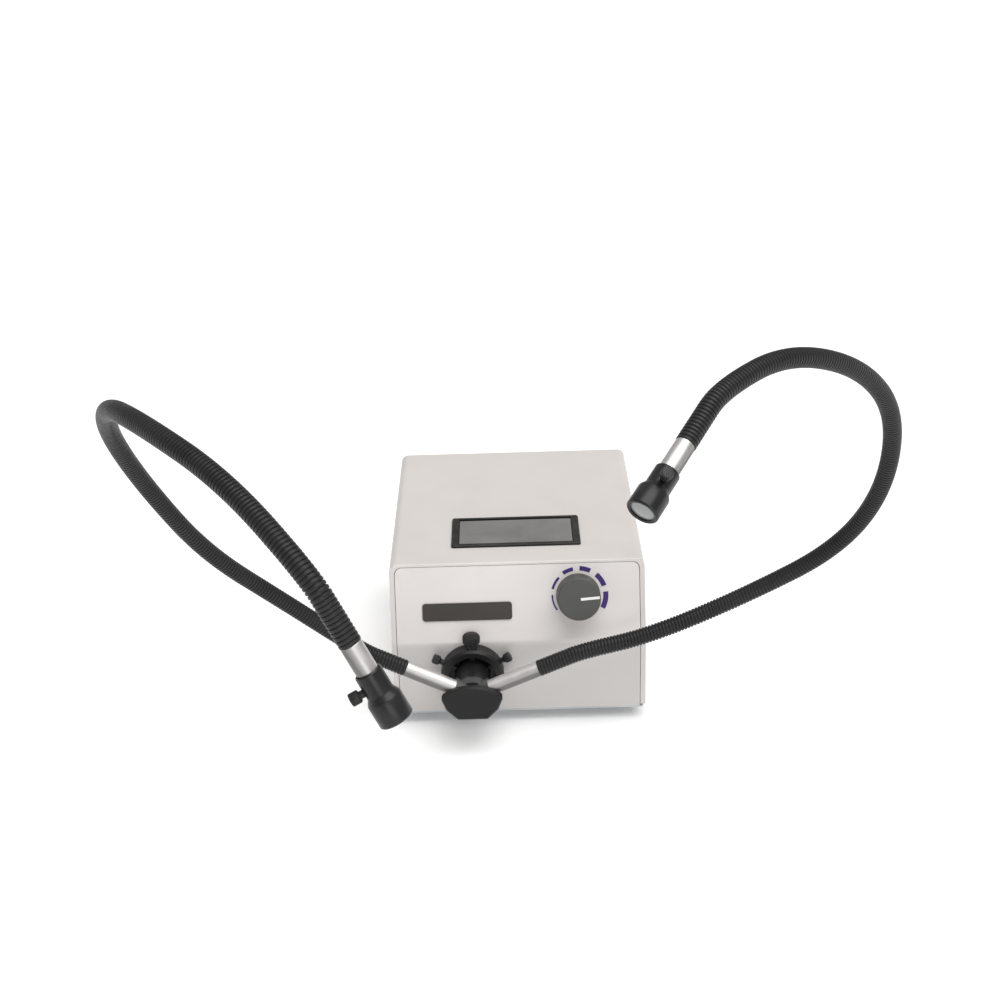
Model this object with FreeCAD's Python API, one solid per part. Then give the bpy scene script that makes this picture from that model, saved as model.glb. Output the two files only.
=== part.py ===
"""Bench light source with a two-armed fibre light guide, as separate pieces, in millimetres.

The origin is the middle of the chassis underside. +X is to the right of someone facing the
control panel, +Y points to the back and +Z is up.
"""
import FreeCAD, Part
import math
import os

V = FreeCAD.Vector
X_AXIS = V(1, 0, 0)
Y_AXIS = V(0, 1, 0)
Z_AXIS = V(0, 0, 1)

# General clearances
overrun = 2.0
running_gap = 0.05
seat_gap = 0.3
shape_tolerance = 0.001

# Housing
housing_width = 165.0
housing_depth = 191.0
housing_height = 102.5
cover_sheet = 1.5
base_sheet = 1.5
panel_sheet = 2.0
bend_radius = 5.0
collar_knee_gap = 1.0
knee_radius = 6.0
top_front_radius = 1.2
slope_setback = 16.4
lip_width = 3.2
top_lip_width = 1.7
panel_gap = 0.35
panel_corner_radius = 4.5
cover_lift = 2.5
chassis_flange = 14.0
panel_return = 12.0

# Intake slots in the chassis base
slot_count = 9
slot_width = 4.0
slot_length = 40.0
slot_pitch = 9.0
slot_centre_y = -52.0
slot_centre_side = 48.5

# Feet and their screws
foot_top_radius = 9.0
foot_bottom_radius = 7.5
foot_height = 8.0
foot_inset_x = 20.0
foot_inset_y = 22.0
foot_recess_radius = 4.6
foot_recess_depth = 4.5
foot_screw_radius = 2.0
foot_screw_head_radius = 3.9
foot_screw_head_height = 2.4
foot_nut_flats = 7.0
foot_nut_height = 3.2
foot_screw_tip = 1.0
screw_hole_gap = 0.25

# Cover screws
cover_screw_radius = 1.5
cover_screw_head_radius = 3.0
cover_screw_head_height = 1.6
cover_screw_length = 5.0
cover_screw_height = 9.0
cover_screw_inset = 25.0

# Carry handle and its bezel
handle_width = 85.2
handle_depth = 41.7
handle_centre_y = -37.0
bezel_rise = 1.8
bezel_corner = 1.6
bezel_edge = 0.6
bezel_side_border = 4.8
bezel_end_border = 2.8
bezel_wall = 1.4
pocket_depth = 15.0
pocket_floor = 1.4
paddle_sheet = 3.0
paddle_gap = 0.5
paddle_sink = 0.3
paddle_rib = 5.0
paddle_rib_wall = 2.0
paddle_rib_inset = 1.6
hinge_knuckle_radius = 2.2
hinge_pin_radius = 1.1

# Intensity knob and its potentiometer
knob_side = 43.3
knob_up_share = 0.5618
knob_radius = 14.35
knob_height = 15.0
knob_draft = 0.5
knob_edge = 0.8
knob_lift = 0.6
knob_cavity_radius = 10.5
knob_cavity_depth = 4.5
knob_bore_depth = 11.5
pointer_width = 1.7
pointer_depth = 0.6
pointer_proud = 0.08
pointer_start = 1.0
pointer_angle = 4.0
pot_radius = 12.0
pot_depth = 11.0
pot_bush_radius = 4.5
pot_bush_length = 6.5
pot_hole_gap = 0.2
pot_shaft_radius = 3.0
pot_shaft_tail = 5.0
pot_nut_flats = 13.0
pot_nut_height = 2.0
pot_terminal_width = 14.0
pot_terminal_length = 6.0
pot_terminal_sheet = 1.6

# Arc marks round the knob: start angle, end angle and width of each
mark_inner_radius = 16.2
mark_height = 0.2
mark_spans = [(178.0, 214.0), (136.0, 165.0), (100.0, 123.0), (63.0, 86.0), (19.0, 48.0), (-29.0, 6.0)]
mark_widest = 3.3
mark_width_shares = [0.32, 0.48, 0.74, 0.88, 0.96, 1.0]

# Name plate, left plain
plate_x = -32.8
plate_up_share = 0.394
plate_width = 58.0
plate_height = 11.6
plate_thickness = 0.8
plate_corner = 2.0

# Nose collar, the light port
nose_x = -30.7
nose_height = 31.2
collar_radius = 20.6
collar_length = 9.5
collar_round = 1.4
collar_hollow_radius = 15.8
collar_floor = 2.6
spigot_radius = 14.5
spigot_length = 16.0
collar_nut_radius = 18.5
collar_nut_height = 4.0
collar_nut_notches = 6
collar_nut_notch_width = 4.0
collar_nut_notch_depth = 1.6
thread_gap = 0.05

# Clamp screws of the collar: top, right and left
nose_screw_radius = 2.0
nose_screw_head_radius = 5.65
nose_screw_head_height = 6.5
side_screw_radius = 1.25
side_screw_head_radius = 3.1
side_screw_head_height = 5.0
side_screw_angle = 28.5
collar_screw_neck_height = 3.0
barrel_screw_neck_height = 1.8
screw_neck_share = 0.6
screw_tip_gap = 0.25
knurl_depth = 0.35
knurl_teeth = 24

# Light guide: shaft, ferrule, junction
shaft_radius = 11.7
shaft_front = 25.5
shaft_tail = 15.0
ferrule_radius = 6.5
ferrule_bore_radius = 5.2
ferrule_length = 36.0
ferrule_insert = 14.0
common_bundle_radius = 5.0
sleeve_radius = 5.0
sleeve_bore_radius = 3.0
sleeve_angle = 25.0
sleeve_roll = 2.0
sleeve_lift = 1.7
sleeve_length = 46.5
sleeve_mitre_gap = 0.3
socket_length = 8.0
socket_gap = 0.1
block_length = 11.0
block_half_width = 13.0
block_half_width_low = 8.0
block_low = 10.5
block_shoulder = 4.0
hub_length = 6.8
boss_radius = 6.2
boss_length = 13.0
cap_length = 3.0
cap_half_width = 19.3
cap_side_top = 5.5
cap_side_low = 2.5
cap_top = 12.3
cap_low_half_width = 9.5
cap_low_height = 5.0
cap_low_half_width_mid = 16.5
cap_low = 12.2
cap_round = 3.2
cap_edge = 1.2

# Goosenecks
hose_radius = 5.25
hose_rib_depth = 0.7
hose_bore_radius = 3.6
hose_rib_pitch = 2.95
hose_cuff = 10.5
hose_first_run = 30.0
bundle_radius = 2.95
rib_shares = [0.0, 0.22, 0.5, 0.72]
right_route = [(83, -125, 72), (144, -120, 97), (194, -132, 133), (213, -158, 183), (209, -187, 243),
               (180, -222, 285), (134, -261, 309), (96, -300, 306), (77, -326, 290)]
left_route = [(-144, -134, 109), (-183, -155, 154), (-206, -181, 209), (-213, -219, 259), (-199, -269, 295),
              (-170, -322, 307), (-126, -366, 297), (-88, -406, 271), (-72, -412, 241)]

# Lens heads
left_sleeve_visible = 14.0
right_sleeve_visible = 17.2
end_sleeve_length = 25.5
barrel_small_radius = 6.2
barrel_large_radius = 7.9
barrel_small_length = 10.3
barrel_cone_length = 3.7
barrel_large_length = 11.0
barrel_edge = 0.7
barrel_bore_length = 14.0
barrel_throat_radius = 4.0
barrel_throat_length = 2.5
barrel_lens_radius = 6.9
lens_radius = 6.8
lens_edge = 2.4
lens_dome_radius = 22.0
lens_inset = 1.4
lens_ring_width = 0.8
lens_ring_length = 1.1
barrel_screw_place = 7.5
barrel_screw_radius = 1.25
barrel_screw_head_radius = 3.0
barrel_screw_head_height = 4.6
barrel_screw_slot_width = 0.7
barrel_screw_slot_depth = 0.7
right_screw_dir = V(0.22, -0.629, 0.745)
left_screw_dir = V(-0.86, -0.22, -0.46)

# Lamp, filter and their bracket, on the nose axis
lamp_rim_depth = 66.0
lamp_radius = 24.6
lamp_depth = 24.0
lamp_wall = 2.0
lamp_neck_radius = 8.0
lamp_neck_length = 13.0
capsule_radius = 4.5
capsule_length = 17.0
capsule_tip_length = 4.0
reflector_steps = 8
bracket_sheet = 1.5
bracket_half_width = 29.0
bracket_top = 60.0
bracket_hole_radius = 21.0
bracket_foot = 14.0
filter_radius = 17.0
filter_thickness = 3.0
filter_back_gap = 1.0
filter_ring_wall = 2.0
filter_ring_length = 5.0
lamp_pin_radius = 0.5
lamp_pin_length = 6.0
lamp_pin_spacing = 5.3
lamp_pin_gap = 0.1
socket_body_width = 20.0
socket_body_height = 15.0
socket_body_length = 12.0
socket_bracket_width = 26.0

# Transformer
core_width = 70.0
core_depth = 44.0
core_height = 58.0
core_side_gap = 9.5
core_centre_y = 18.0
core_window_width = 12.0
core_window_height = 36.0
core_leg = 24.0
winding_swell = 9.0
core_foot_height = 1.6
core_foot_length = 5.0
winding_gap = 0.3

# Control board, heat sink and standoffs
board_side_gap = 12.0
board_lamp_gap = 2.2
board_depth = 40.0
board_thickness = 1.6
board_centre_y = -48.0
board_height = 12.0
standoff_radius = 3.0
standoff_inset = 5.0
sink_width = 40.0
sink_depth = 14.0
sink_height = 24.0
sink_base = 3.0
sink_fins = 6
sink_fin_width = 1.4

# Fan, guard and screws
fan_size_share = 0.7805
fan_depth = 25.0
fan_corner = 4.0
fan_side_gap = 3.0
fan_base_gap = 16.0
fan_rim = 2.0
fan_hub_radius = 17.0
fan_hub_wall = 3.0
fan_strut_width = 4.0
fan_strut_depth = 3.0
fan_strut_count = 4
fan_boss_radius = 4.0
fan_boss_length = 7.0
fan_shaft_radius = 1.5
fan_blade_count = 7
fan_blade_tip_gap = 1.2
fan_blade_sheet = 1.6
fan_blade_pitch = 38.0
fan_blade_chord = 22.0
fan_hole_inset = 4.25
fan_screw_radius = 2.0
fan_screw_head_radius = 3.8
fan_screw_head_height = 2.2
guard_wire = 0.9
guard_rings = 4
guard_inner_radius = 9.0
guard_rim = 3.0
guard_ear_radius = 4.2

# Rear panel fittings
inlet_side = 34.5
inlet_height = 30.0
inlet_flange_width = 31.0
inlet_flange_height = 24.0
inlet_flange_thickness = 2.5
inlet_body_width = 27.0
inlet_body_height = 19.8
inlet_body_depth = 20.0
inlet_cavity_width = 24.0
inlet_cavity_height = 16.4
inlet_cavity_depth = 17.5
inlet_pin_width = 2.0
inlet_pin_height = 4.0
inlet_pin_spacing = 7.0
inlet_pin_lift = 1.5
inlet_pin_recess = 5.5
inlet_corner = 3.0
switch_side = 46.5
switch_height = 66.0
switch_flange_width = 15.0
switch_flange_height = 21.0
switch_flange_thickness = 1.8
switch_body_width = 12.8
switch_body_height = 19.0
switch_body_depth = 15.0
rocker_width = 9.0
rocker_radius = 7.4
rocker_pivot_depth = 3.6
rocker_rise = 3.0
rocker_tilt = 10.0
rocker_pin_radius = 1.0
rocker_side_gap = 0.35
fuse_side = 22.5
fuse_height = 66.0
fuse_holder_radius = 6.0
fuse_holder_length = 24.0
fuse_flange_radius = 8.0
fuse_flange_thickness = 1.5
fuse_cap_radius = 6.4
fuse_cap_length = 6.0
fuse_cap_slot_width = 1.4
fuse_cap_slot_depth = 1.5
fuse_radius = 2.6
fuse_length = 20.0
fuse_bore_radius = 3.0

front = -housing_depth / 2
back = housing_depth / 2
half_width = housing_width / 2
knee_height = nose_height + collar_radius + collar_knee_gap
slope_angle = math.atan2(slope_setback, housing_height - knee_height)
slope_length = math.hypot(slope_setback, housing_height - knee_height)
knob_x = half_width - knob_side
knob_up_slope = slope_length * knob_up_share
plate_up_slope = slope_length * plate_up_share
slot_centre_x = half_width - slot_centre_side
core_centre_x = half_width - core_side_gap - core_width / 2
board_right = half_width - board_side_gap
board_left = nose_x + bracket_half_width + board_lamp_gap
board_width = board_right - board_left
board_centre_x = (board_left + board_right) / 2
fan_size = housing_height * fan_size_share
fan_x = fan_side_gap + fan_size / 2 - half_width
fan_height = fan_base_gap + fan_size / 2
fan_bore_radius = fan_size / 2 - fan_rim
fan_hole_spacing = fan_size - 2 * fan_hole_inset
guard_outer_radius = fan_size / 2 - guard_rim
inlet_x = half_width - inlet_side
switch_x = half_width - switch_side
fuse_x = half_width - fuse_side
pieces = {}


def keep(name, shape):
    """Store one named piece."""
    pieces[name] = shape


def box(x0, x1, y0, y1, z0, z1):
    return Part.makeBox(x1 - x0, y1 - y0, z1 - z0, V(x0, y0, z0))


def rod(start, direction, radius, length):
    return Part.makeCylinder(radius, length, start, direction)


def tube(start, direction, outer, inner, length):
    return rod(start, direction, outer, length).cut(rod(start, direction, inner, length))


def unit(vector):
    return V(vector).normalize()


def across(direction, hint):
    """The unit vector nearest to hint that is square to direction."""
    return unit(hint - direction * hint.dot(direction))


def placed(shape, origin, z_dir, x_hint):
    """Move a shape drawn about +Z to an origin, with its Z and X turned to the given directions."""
    z_dir = unit(z_dir)
    turn = FreeCAD.Rotation(across(z_dir, x_hint), V(0, 0, 0), z_dir, "ZXY")
    moved = shape.copy()
    moved.Placement = FreeCAD.Placement(origin, turn).multiply(moved.Placement)
    return moved


def lathe(profile):
    """Turn a closed outline of (radius, height) points about +Z."""
    points = [V(r, 0, h) for r, h in profile]
    face = Part.Face(Part.makePolygon(points + [points[0]]))
    return face.revolve(V(0, 0, 0), Z_AXIS, 360)


def prism(points, direction):
    """Extrude a closed outline of vectors."""
    return Part.Face(Part.makePolygon(list(points) + [points[0]])).extrude(direction)


def rounded_plate(width, height, thickness, corner):
    """A plate on the XY plane, centred, with its upright edges rounded."""
    plate = box(-width / 2, width / 2, -height / 2, height / 2, 0, thickness)
    edges = [e for e in plate.Edges if abs(e.tangentAt(e.FirstParameter).z) > math.cos(math.pi / 8)]
    return plate.makeFillet(corner, edges)


def hexagon(flats, height):
    """A hexagonal nut blank about +Z."""
    corner = flats / 2 / math.cos(math.pi / 6)
    turns = [math.pi / 3 * k for k in range(6)]
    return prism([V(corner * math.cos(t), corner * math.sin(t), 0) for t in turns], V(0, 0, height))


def knurled(radius, height, teeth, depth):
    """A knurled knob blank about +Z with both rims bevelled."""
    points = []
    for k in range(2 * teeth):
        r = radius if k % 2 == 0 else radius - depth
        points.append(V(r * math.cos(math.pi * k / teeth), r * math.sin(math.pi * k / teeth), 0))
    star = prism(points, V(0, 0, height))
    bevel = 2 * depth
    blank = lathe([(0, 0), (radius - bevel, 0), (radius, bevel), (radius, height - bevel),
                   (radius - bevel, height), (0, height)])
    return star.common(blank)


def envelope(inset, low, far):
    """The housing's outer form moved inwards by an inset, from a low level back to a far plane."""
    top = housing_height - inset
    side = half_width - inset
    lower_knee = knee_height - inset * math.tan(slope_angle / 2)
    top_y = front + slope_setback + inset / math.cos(slope_angle) - inset * math.tan(slope_angle)
    profile = [V(-side, front + inset, low), V(-side, front + inset, lower_knee), V(-side, top_y, top),
               V(-side, far, top), V(-side, far, low)]
    body = prism(profile, V(2 * side, 0, 0))

    def along_x(y, z):
        return [e for e in body.Edges if abs(e.CenterOfMass.y - y) + abs(e.CenterOfMass.z - z) < seat_gap
                and abs(e.CenterOfMass.x) < seat_gap]

    body = body.makeFillet(max(knee_radius - inset, seat_gap), along_x(front + inset, lower_knee))
    body = body.makeFillet(max(top_front_radius - inset, seat_gap), along_x(top_y, top))
    outline = rounded_plate(2 * side, 2 * top, far - front + overrun, max(bend_radius - inset, seat_gap))
    outline = placed(outline, V(0, far, 0), -Y_AXIS, X_AXIS)
    return body.common(outline)


def slope_point(x, up, out):
    """A point on the sloped panel: x, distance up the slope from the knee, distance out of it."""
    return V(x, front + up * math.sin(slope_angle) - out * math.cos(slope_angle),
             knee_height + up * math.cos(slope_angle) + out * math.sin(slope_angle))


SLOPE_OUT = V(0, -math.cos(slope_angle), math.sin(slope_angle))
OUT = V(0, -1, 0)


def nose_point(dx, dz, out):
    """A point near the nose axis: to the right, up, and out of the lower panel."""
    return V(nose_x + dx, front - out, nose_height + dz)


def panel_outline(inset, low):
    """The block behind the cover's front opening."""
    width = housing_width - 2 * (lip_width + inset)
    height = 2 * (housing_height - top_lip_width - inset)
    length = slope_setback + panel_sheet + overrun
    block = placed(rounded_plate(width, height, length, panel_corner_radius), V(0, front + length - overrun, 0),
                   -Y_AXIS, X_AXIS)
    return block.common(box(-half_width, half_width, front - overrun, back, low, housing_height))


def block_at(x, z, half_x, half_z, y0, y1):
    """A block centred on x and z, from one Y to another."""
    return box(x - half_x, x + half_x, y0, y1, z - half_z, z + half_z)


def rear_point(x, z, out):
    """A point at the rear panel: x, height, and distance out of it."""
    return V(x, back + out, z)


def make_cover():
    outer = envelope(0, cover_lift, back)
    inner = envelope(cover_sheet, cover_lift - overrun, back + overrun)
    cover = outer.cut(inner).cut(panel_outline(0, cover_lift - overrun))
    opening = rounded_plate(handle_width - 2 * bezel_wall, handle_depth - 2 * bezel_wall,
                            cover_sheet + 2 * overrun, bezel_corner)
    opening.translate(V(0, handle_centre_y, housing_height - cover_sheet - overrun))
    cover = cover.cut(opening)
    for start, direction in cover_screw_places():
        hole = rod(start - direction * overrun, direction, cover_screw_radius + screw_hole_gap,
                   cover_sheet + 2 * overrun)
        cover = cover.cut(hole)
    keep("cover", cover)


def cover_screw_places():
    """Where each cover screw's head sits, and which way it points."""
    places = []
    for side in (-1, 1):
        for y in (front + cover_screw_inset, back - cover_screw_inset):
            places.append((V(side * half_width, y, cover_screw_height), V(-side, 0, 0)))
    return places


def make_cover_screws():
    screws = []
    for start, direction in cover_screw_places():
        head = lathe([(0, 0), (cover_screw_head_radius, 0),
                      (cover_screw_head_radius, cover_screw_head_height / 2),
                      (cover_screw_head_radius / 2, cover_screw_head_height), (0, cover_screw_head_height)])
        head = placed(head, start, -direction, Z_AXIS)
        screws.append(head.fuse(rod(start, direction, cover_screw_radius, cover_screw_length)))
    keep("cover_screws", Part.makeCompound(screws))


def make_front_panel():
    shell = envelope(0, base_sheet, back).cut(envelope(panel_sheet, -overrun, back + overrun))
    panel = shell.common(panel_outline(panel_gap, base_sheet))
    inner_side = half_width - lip_width - panel_gap
    panel = panel.fuse(box(-inner_side, inner_side, front + panel_sheet / 2, front + panel_return,
                           base_sheet, base_sheet + panel_sheet))
    through = panel_sheet + 2 * overrun
    panel = panel.cut(rod(nose_point(0, 0, overrun), -OUT, spigot_radius + thread_gap, through))
    panel = panel.cut(rod(slope_point(knob_x, knob_up_slope, overrun), -SLOPE_OUT,
                          pot_bush_radius + pot_hole_gap, through))
    keep("front_panel", panel.removeSplitter())


def foot_places():
    x = half_width - foot_inset_x
    y = back - foot_inset_y
    return [V(sx * x, sy * y, 0) for sx in (-1, 1) for sy in (-1, 1)]


def make_chassis():
    side = half_width - cover_sheet
    flange_start = front + panel_sheet + slope_setback + seat_gap
    flange_end = back - panel_sheet
    plate = box(-side, side, front + seat_gap, back, 0, base_sheet)
    plate = plate.fuse([
        box(-side, base_sheet - side, flange_start, flange_end, 0, chassis_flange),
        box(side - base_sheet, side, flange_start, flange_end, 0, chassis_flange),
        box(-side, side, flange_end - base_sheet, flange_end, 0, chassis_flange)])
    for k in range(slot_count):
        x = slot_centre_x + (k - (slot_count - 1) / 2) * slot_pitch
        slot = rounded_plate(slot_width, slot_length, base_sheet + 2 * overrun, slot_width / 2 - running_gap)
        slot.translate(V(x, slot_centre_y, -overrun))
        plate = plate.cut(slot)
    for spot in foot_places():
        plate = plate.cut(rod(spot - Z_AXIS * overrun, Z_AXIS, foot_screw_radius + screw_hole_gap,
                              base_sheet + 2 * overrun))
    for start, direction in cover_screw_places():
        plate = plate.cut(rod(start, direction, cover_screw_radius + running_gap, cover_screw_length + overrun))
    keep("base_chassis", plate.removeSplitter())


def make_feet():
    feet = []
    screws = []
    for spot in foot_places():
        foot = lathe([(0, 0), (foot_top_radius, 0), (foot_bottom_radius, -foot_height),
                      (foot_recess_radius, -foot_height), (foot_recess_radius, foot_recess_depth - foot_height),
                      (0, foot_recess_depth - foot_height)])
        foot = foot.cut(rod(V(0, 0, -foot_height), Z_AXIS, foot_screw_radius + screw_hole_gap, foot_height))
        foot.translate(spot)
        feet.append(foot)
        seat = foot_recess_depth - foot_height
        shank = foot_nut_height + base_sheet - seat + foot_screw_tip
        screw = rod(V(0, 0, seat), Z_AXIS, foot_screw_radius, shank)
        screw = screw.fuse(rod(V(0, 0, seat - foot_screw_head_height), Z_AXIS, foot_screw_head_radius,
                               foot_screw_head_height))
        nut = hexagon(foot_nut_flats, foot_nut_height)
        nut.translate(Z_AXIS * base_sheet)
        screw = screw.fuse(nut)
        screw.translate(spot)
        screws.append(screw)
    keep("feet", Part.makeCompound(feet))
    keep("foot_screws", Part.makeCompound(screws))


handle_top = housing_height + bezel_rise - paddle_sink
pin_z = handle_top - hinge_knuckle_radius
pocket_front = handle_centre_y - handle_depth / 2 + bezel_end_border
pocket_back = handle_centre_y + handle_depth / 2 - bezel_end_border
pin_y = pocket_back - hinge_knuckle_radius - seat_gap
paddle_half = handle_width / 2 - bezel_side_border - paddle_gap


def make_handle():
    rim = rounded_plate(handle_width, handle_depth, bezel_rise, bezel_corner)
    rim.translate(V(0, handle_centre_y, housing_height))
    rim_edges = [e for e in rim.Edges if e.CenterOfMass.z > housing_height + bezel_rise - running_gap]
    rim = rim.makeChamfer(bezel_edge, rim_edges)
    cup_inset = 2 * (bezel_wall + running_gap)
    cup = rounded_plate(handle_width - cup_inset, handle_depth - cup_inset, pocket_depth, bezel_corner)
    cup.translate(V(0, handle_centre_y, housing_height - pocket_depth))
    pocket_half = handle_width / 2 - bezel_side_border
    hollow = box(-pocket_half, pocket_half, pocket_front, pocket_back,
                 housing_height - pocket_depth + pocket_floor, housing_height + bezel_rise + overrun)
    bezel = rim.fuse(cup).cut(hollow)
    pin_half = pocket_half + bezel_side_border / 2
    pin = rod(V(-pin_half, pin_y, pin_z), X_AXIS, hinge_pin_radius, 2 * pin_half)
    keep("handle_bezel", bezel.cut(pin))
    keep("handle_pin", pin)
    plate = box(-paddle_half, paddle_half, pocket_front + paddle_gap, pin_y, handle_top - paddle_sheet,
                handle_top)
    knuckle = rod(V(-paddle_half, pin_y, pin_z), X_AXIS, hinge_knuckle_radius, 2 * paddle_half)
    rib_y = pocket_front + paddle_gap + paddle_rib_inset
    rib = box(-paddle_half, paddle_half, rib_y, rib_y + paddle_rib_wall, handle_top - paddle_sheet - paddle_rib,
              handle_top)
    paddle = plate.fuse(knuckle).fuse(rib)
    bore = rod(V(-paddle_half - overrun, pin_y, pin_z), X_AXIS, hinge_pin_radius + running_gap,
               2 * (paddle_half + overrun))
    keep("carry_handle", paddle.cut(bore).removeSplitter())


def make_knob():
    origin = slope_point(knob_x, knob_up_slope, 0)
    back_face = knob_lift
    face = knob_lift + knob_height
    top_radius = knob_radius - knob_draft
    body = lathe([(0, back_face), (knob_radius, back_face), (top_radius, face - knob_edge),
                  (top_radius - knob_edge, face), (0, face)])
    body = body.cut(rod(V(0, 0, back_face), Z_AXIS, knob_cavity_radius, knob_cavity_depth))
    body = body.cut(rod(V(0, 0, back_face), Z_AXIS, pot_shaft_radius, knob_bore_depth))
    line = box(pointer_start, top_radius - knob_edge, -pointer_width / 2, pointer_width / 2,
               face - pointer_depth, face + pointer_proud)
    line.rotate(V(0, 0, 0), Z_AXIS, pointer_angle)
    body = body.cut(line)
    shaft = rod(V(0, 0, -panel_sheet - pot_shaft_tail), Z_AXIS, pot_shaft_radius,
                panel_sheet + pot_shaft_tail + back_face + knob_bore_depth)
    keep("intensity_knob", placed(body, origin, SLOPE_OUT, X_AXIS))
    keep("knob_pointer", placed(line, origin, SLOPE_OUT, X_AXIS))
    keep("potentiometer_shaft", placed(shaft, origin, SLOPE_OUT, X_AXIS))


def make_potentiometer():
    origin = slope_point(knob_x, knob_up_slope, 0)
    body = rod(V(0, 0, -panel_sheet - pot_depth), Z_AXIS, pot_radius, pot_depth)
    body = body.fuse(rod(V(0, 0, -panel_sheet), Z_AXIS, pot_bush_radius, pot_bush_length))
    terminals = box(-pot_terminal_width / 2, pot_terminal_width / 2, -pot_radius - pot_terminal_length, 0,
                    -panel_sheet - pot_depth / 2, -panel_sheet - pot_depth / 2 + pot_terminal_sheet)
    body = body.fuse(terminals)
    body = body.cut(rod(V(0, 0, -panel_sheet - pot_shaft_tail - seat_gap), Z_AXIS,
                        pot_shaft_radius + running_gap, pot_shaft_tail + pot_bush_length + overrun))
    nut = hexagon(pot_nut_flats, pot_nut_height).cut(rod(V(0, 0, 0), Z_AXIS, pot_bush_radius, pot_nut_height))
    keep("potentiometer", placed(body.fuse(nut).removeSplitter(), origin, SLOPE_OUT, X_AXIS))


def make_marks():
    origin = slope_point(knob_x, knob_up_slope, 0)
    arcs = []
    for (start, end), share in zip(mark_spans, mark_width_shares):
        outer = mark_inner_radius + mark_widest * share
        ring = Part.makeCylinder(outer, mark_height, V(0, 0, 0), Z_AXIS, end - start)
        hole = Part.makeCylinder(mark_inner_radius, mark_height, V(0, 0, 0), Z_AXIS, end - start)
        arc = ring.cut(hole)
        arc.rotate(V(0, 0, 0), Z_AXIS, start)
        arcs.append(placed(arc, origin, SLOPE_OUT, X_AXIS))
    keep("dial_marks", Part.makeCompound(arcs))


def make_name_plate():
    plate = rounded_plate(plate_width, plate_height, plate_thickness, plate_corner)
    origin = slope_point(plate_x, plate_up_slope, 0)
    keep("name_plate", placed(plate, origin, SLOPE_OUT, X_AXIS))


def collar_screw_dir(angle):
    """Outward direction of a collar screw, by its angle from +X."""
    return V(math.cos(math.radians(angle)), 0, math.sin(math.radians(angle)))


def make_collar():
    inner = shaft_radius + running_gap
    rim = collar_length
    body = lathe([(inner, -spigot_length), (spigot_radius, -spigot_length), (spigot_radius, 0),
                  (collar_radius, 0), (collar_radius, rim - collar_round), (collar_radius - collar_round, rim),
                  (collar_hollow_radius, rim), (collar_hollow_radius, collar_floor), (inner, collar_floor)])
    body = placed(body, nose_point(0, 0, 0), OUT, X_AXIS)
    centre = nose_point(0, 0, collar_length / 2)
    for angle, radius in ((math.degrees(math.pi / 2), nose_screw_radius), (side_screw_angle, side_screw_radius),
                          (math.degrees(math.pi) - side_screw_angle, side_screw_radius)):
        body = body.cut(rod(centre, collar_screw_dir(angle), radius + thread_gap, collar_radius + overrun))
    keep("nose_collar", body)
    nut = lathe([(spigot_radius + thread_gap, 0), (collar_nut_radius, 0),
                 (collar_nut_radius, collar_nut_height), (spigot_radius + thread_gap, collar_nut_height)])
    for k in range(collar_nut_notches):
        notch = box(collar_nut_radius - collar_nut_notch_depth, collar_nut_radius + overrun,
                    -collar_nut_notch_width / 2, collar_nut_notch_width / 2,
                    -overrun, collar_nut_height + overrun)
        notch.rotate(V(0, 0, 0), Z_AXIS, 360 / collar_nut_notches * k)
        nut = nut.cut(notch)
    keep("collar_nut", placed(nut, nose_point(0, 0, -panel_sheet - collar_nut_height), OUT, X_AXIS))


def thumbscrew(shank_radius, shank_start, seat, neck_height, head_radius, head_height):
    """A knurled screw about +Z: its shank starts at one height and its neck sits on another."""
    neck = rod(V(0, 0, seat), Z_AXIS, head_radius * screw_neck_share, neck_height + running_gap)
    head = knurled(head_radius, head_height, knurl_teeth, knurl_depth)
    head.translate(V(0, 0, seat + neck_height))
    shank = rod(V(0, 0, shank_start), Z_AXIS, shank_radius, seat - shank_start + running_gap)
    return shank.fuse(neck).fuse(head).removeSplitter()


def make_collar_screws():
    start = shaft_radius + screw_tip_gap
    centre = nose_point(0, 0, collar_length / 2)
    seat = collar_radius + running_gap
    top = thumbscrew(nose_screw_radius, start, seat, collar_screw_neck_height, nose_screw_head_radius,
                     nose_screw_head_height)
    keep("nose_thumbscrew", placed(top, centre, Z_AXIS, X_AXIS))
    side = thumbscrew(side_screw_radius, start, seat, collar_screw_neck_height, side_screw_head_radius,
                      side_screw_head_height)
    keep("right_side_screw", placed(side, centre, collar_screw_dir(side_screw_angle), Y_AXIS))
    left_angle = math.degrees(math.pi) - side_screw_angle
    keep("left_side_screw", placed(side, centre, collar_screw_dir(left_angle), Y_AXIS))


def sleeve_dir(side):
    """Direction of a junction sleeve: side is -1 for the left arm and 1 for the right."""
    angle = math.radians(sleeve_angle - side * sleeve_roll)
    return V(side * math.cos(angle), 0, math.sin(angle))


sleeve_depth = shaft_front + block_length / 2
sleeve_apex = nose_point(0, sleeve_lift, sleeve_depth)


def make_guide_plug():
    outer = rod(nose_point(0, 0, shaft_front), -OUT, shaft_radius, shaft_front + shaft_tail)
    outer = outer.cut(rod(nose_point(0, 0, shaft_front), -OUT, common_bundle_radius + socket_gap,
                          shaft_front + shaft_tail))
    ferrule_start = ferrule_insert - shaft_tail
    outer = outer.cut(rod(nose_point(0, 0, ferrule_start), -OUT, ferrule_radius + socket_gap,
                          ferrule_insert + overrun))
    keep("guide_shaft", outer)
    keep("guide_ferrule", tube(nose_point(0, 0, ferrule_start), -OUT, ferrule_radius, ferrule_bore_radius,
                               ferrule_length))
    bundle_end = ferrule_start - ferrule_length
    keep("common_bundle", rod(nose_point(0, 0, shaft_front - seat_gap), -OUT, common_bundle_radius,
                              shaft_front - seat_gap - bundle_end))


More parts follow.
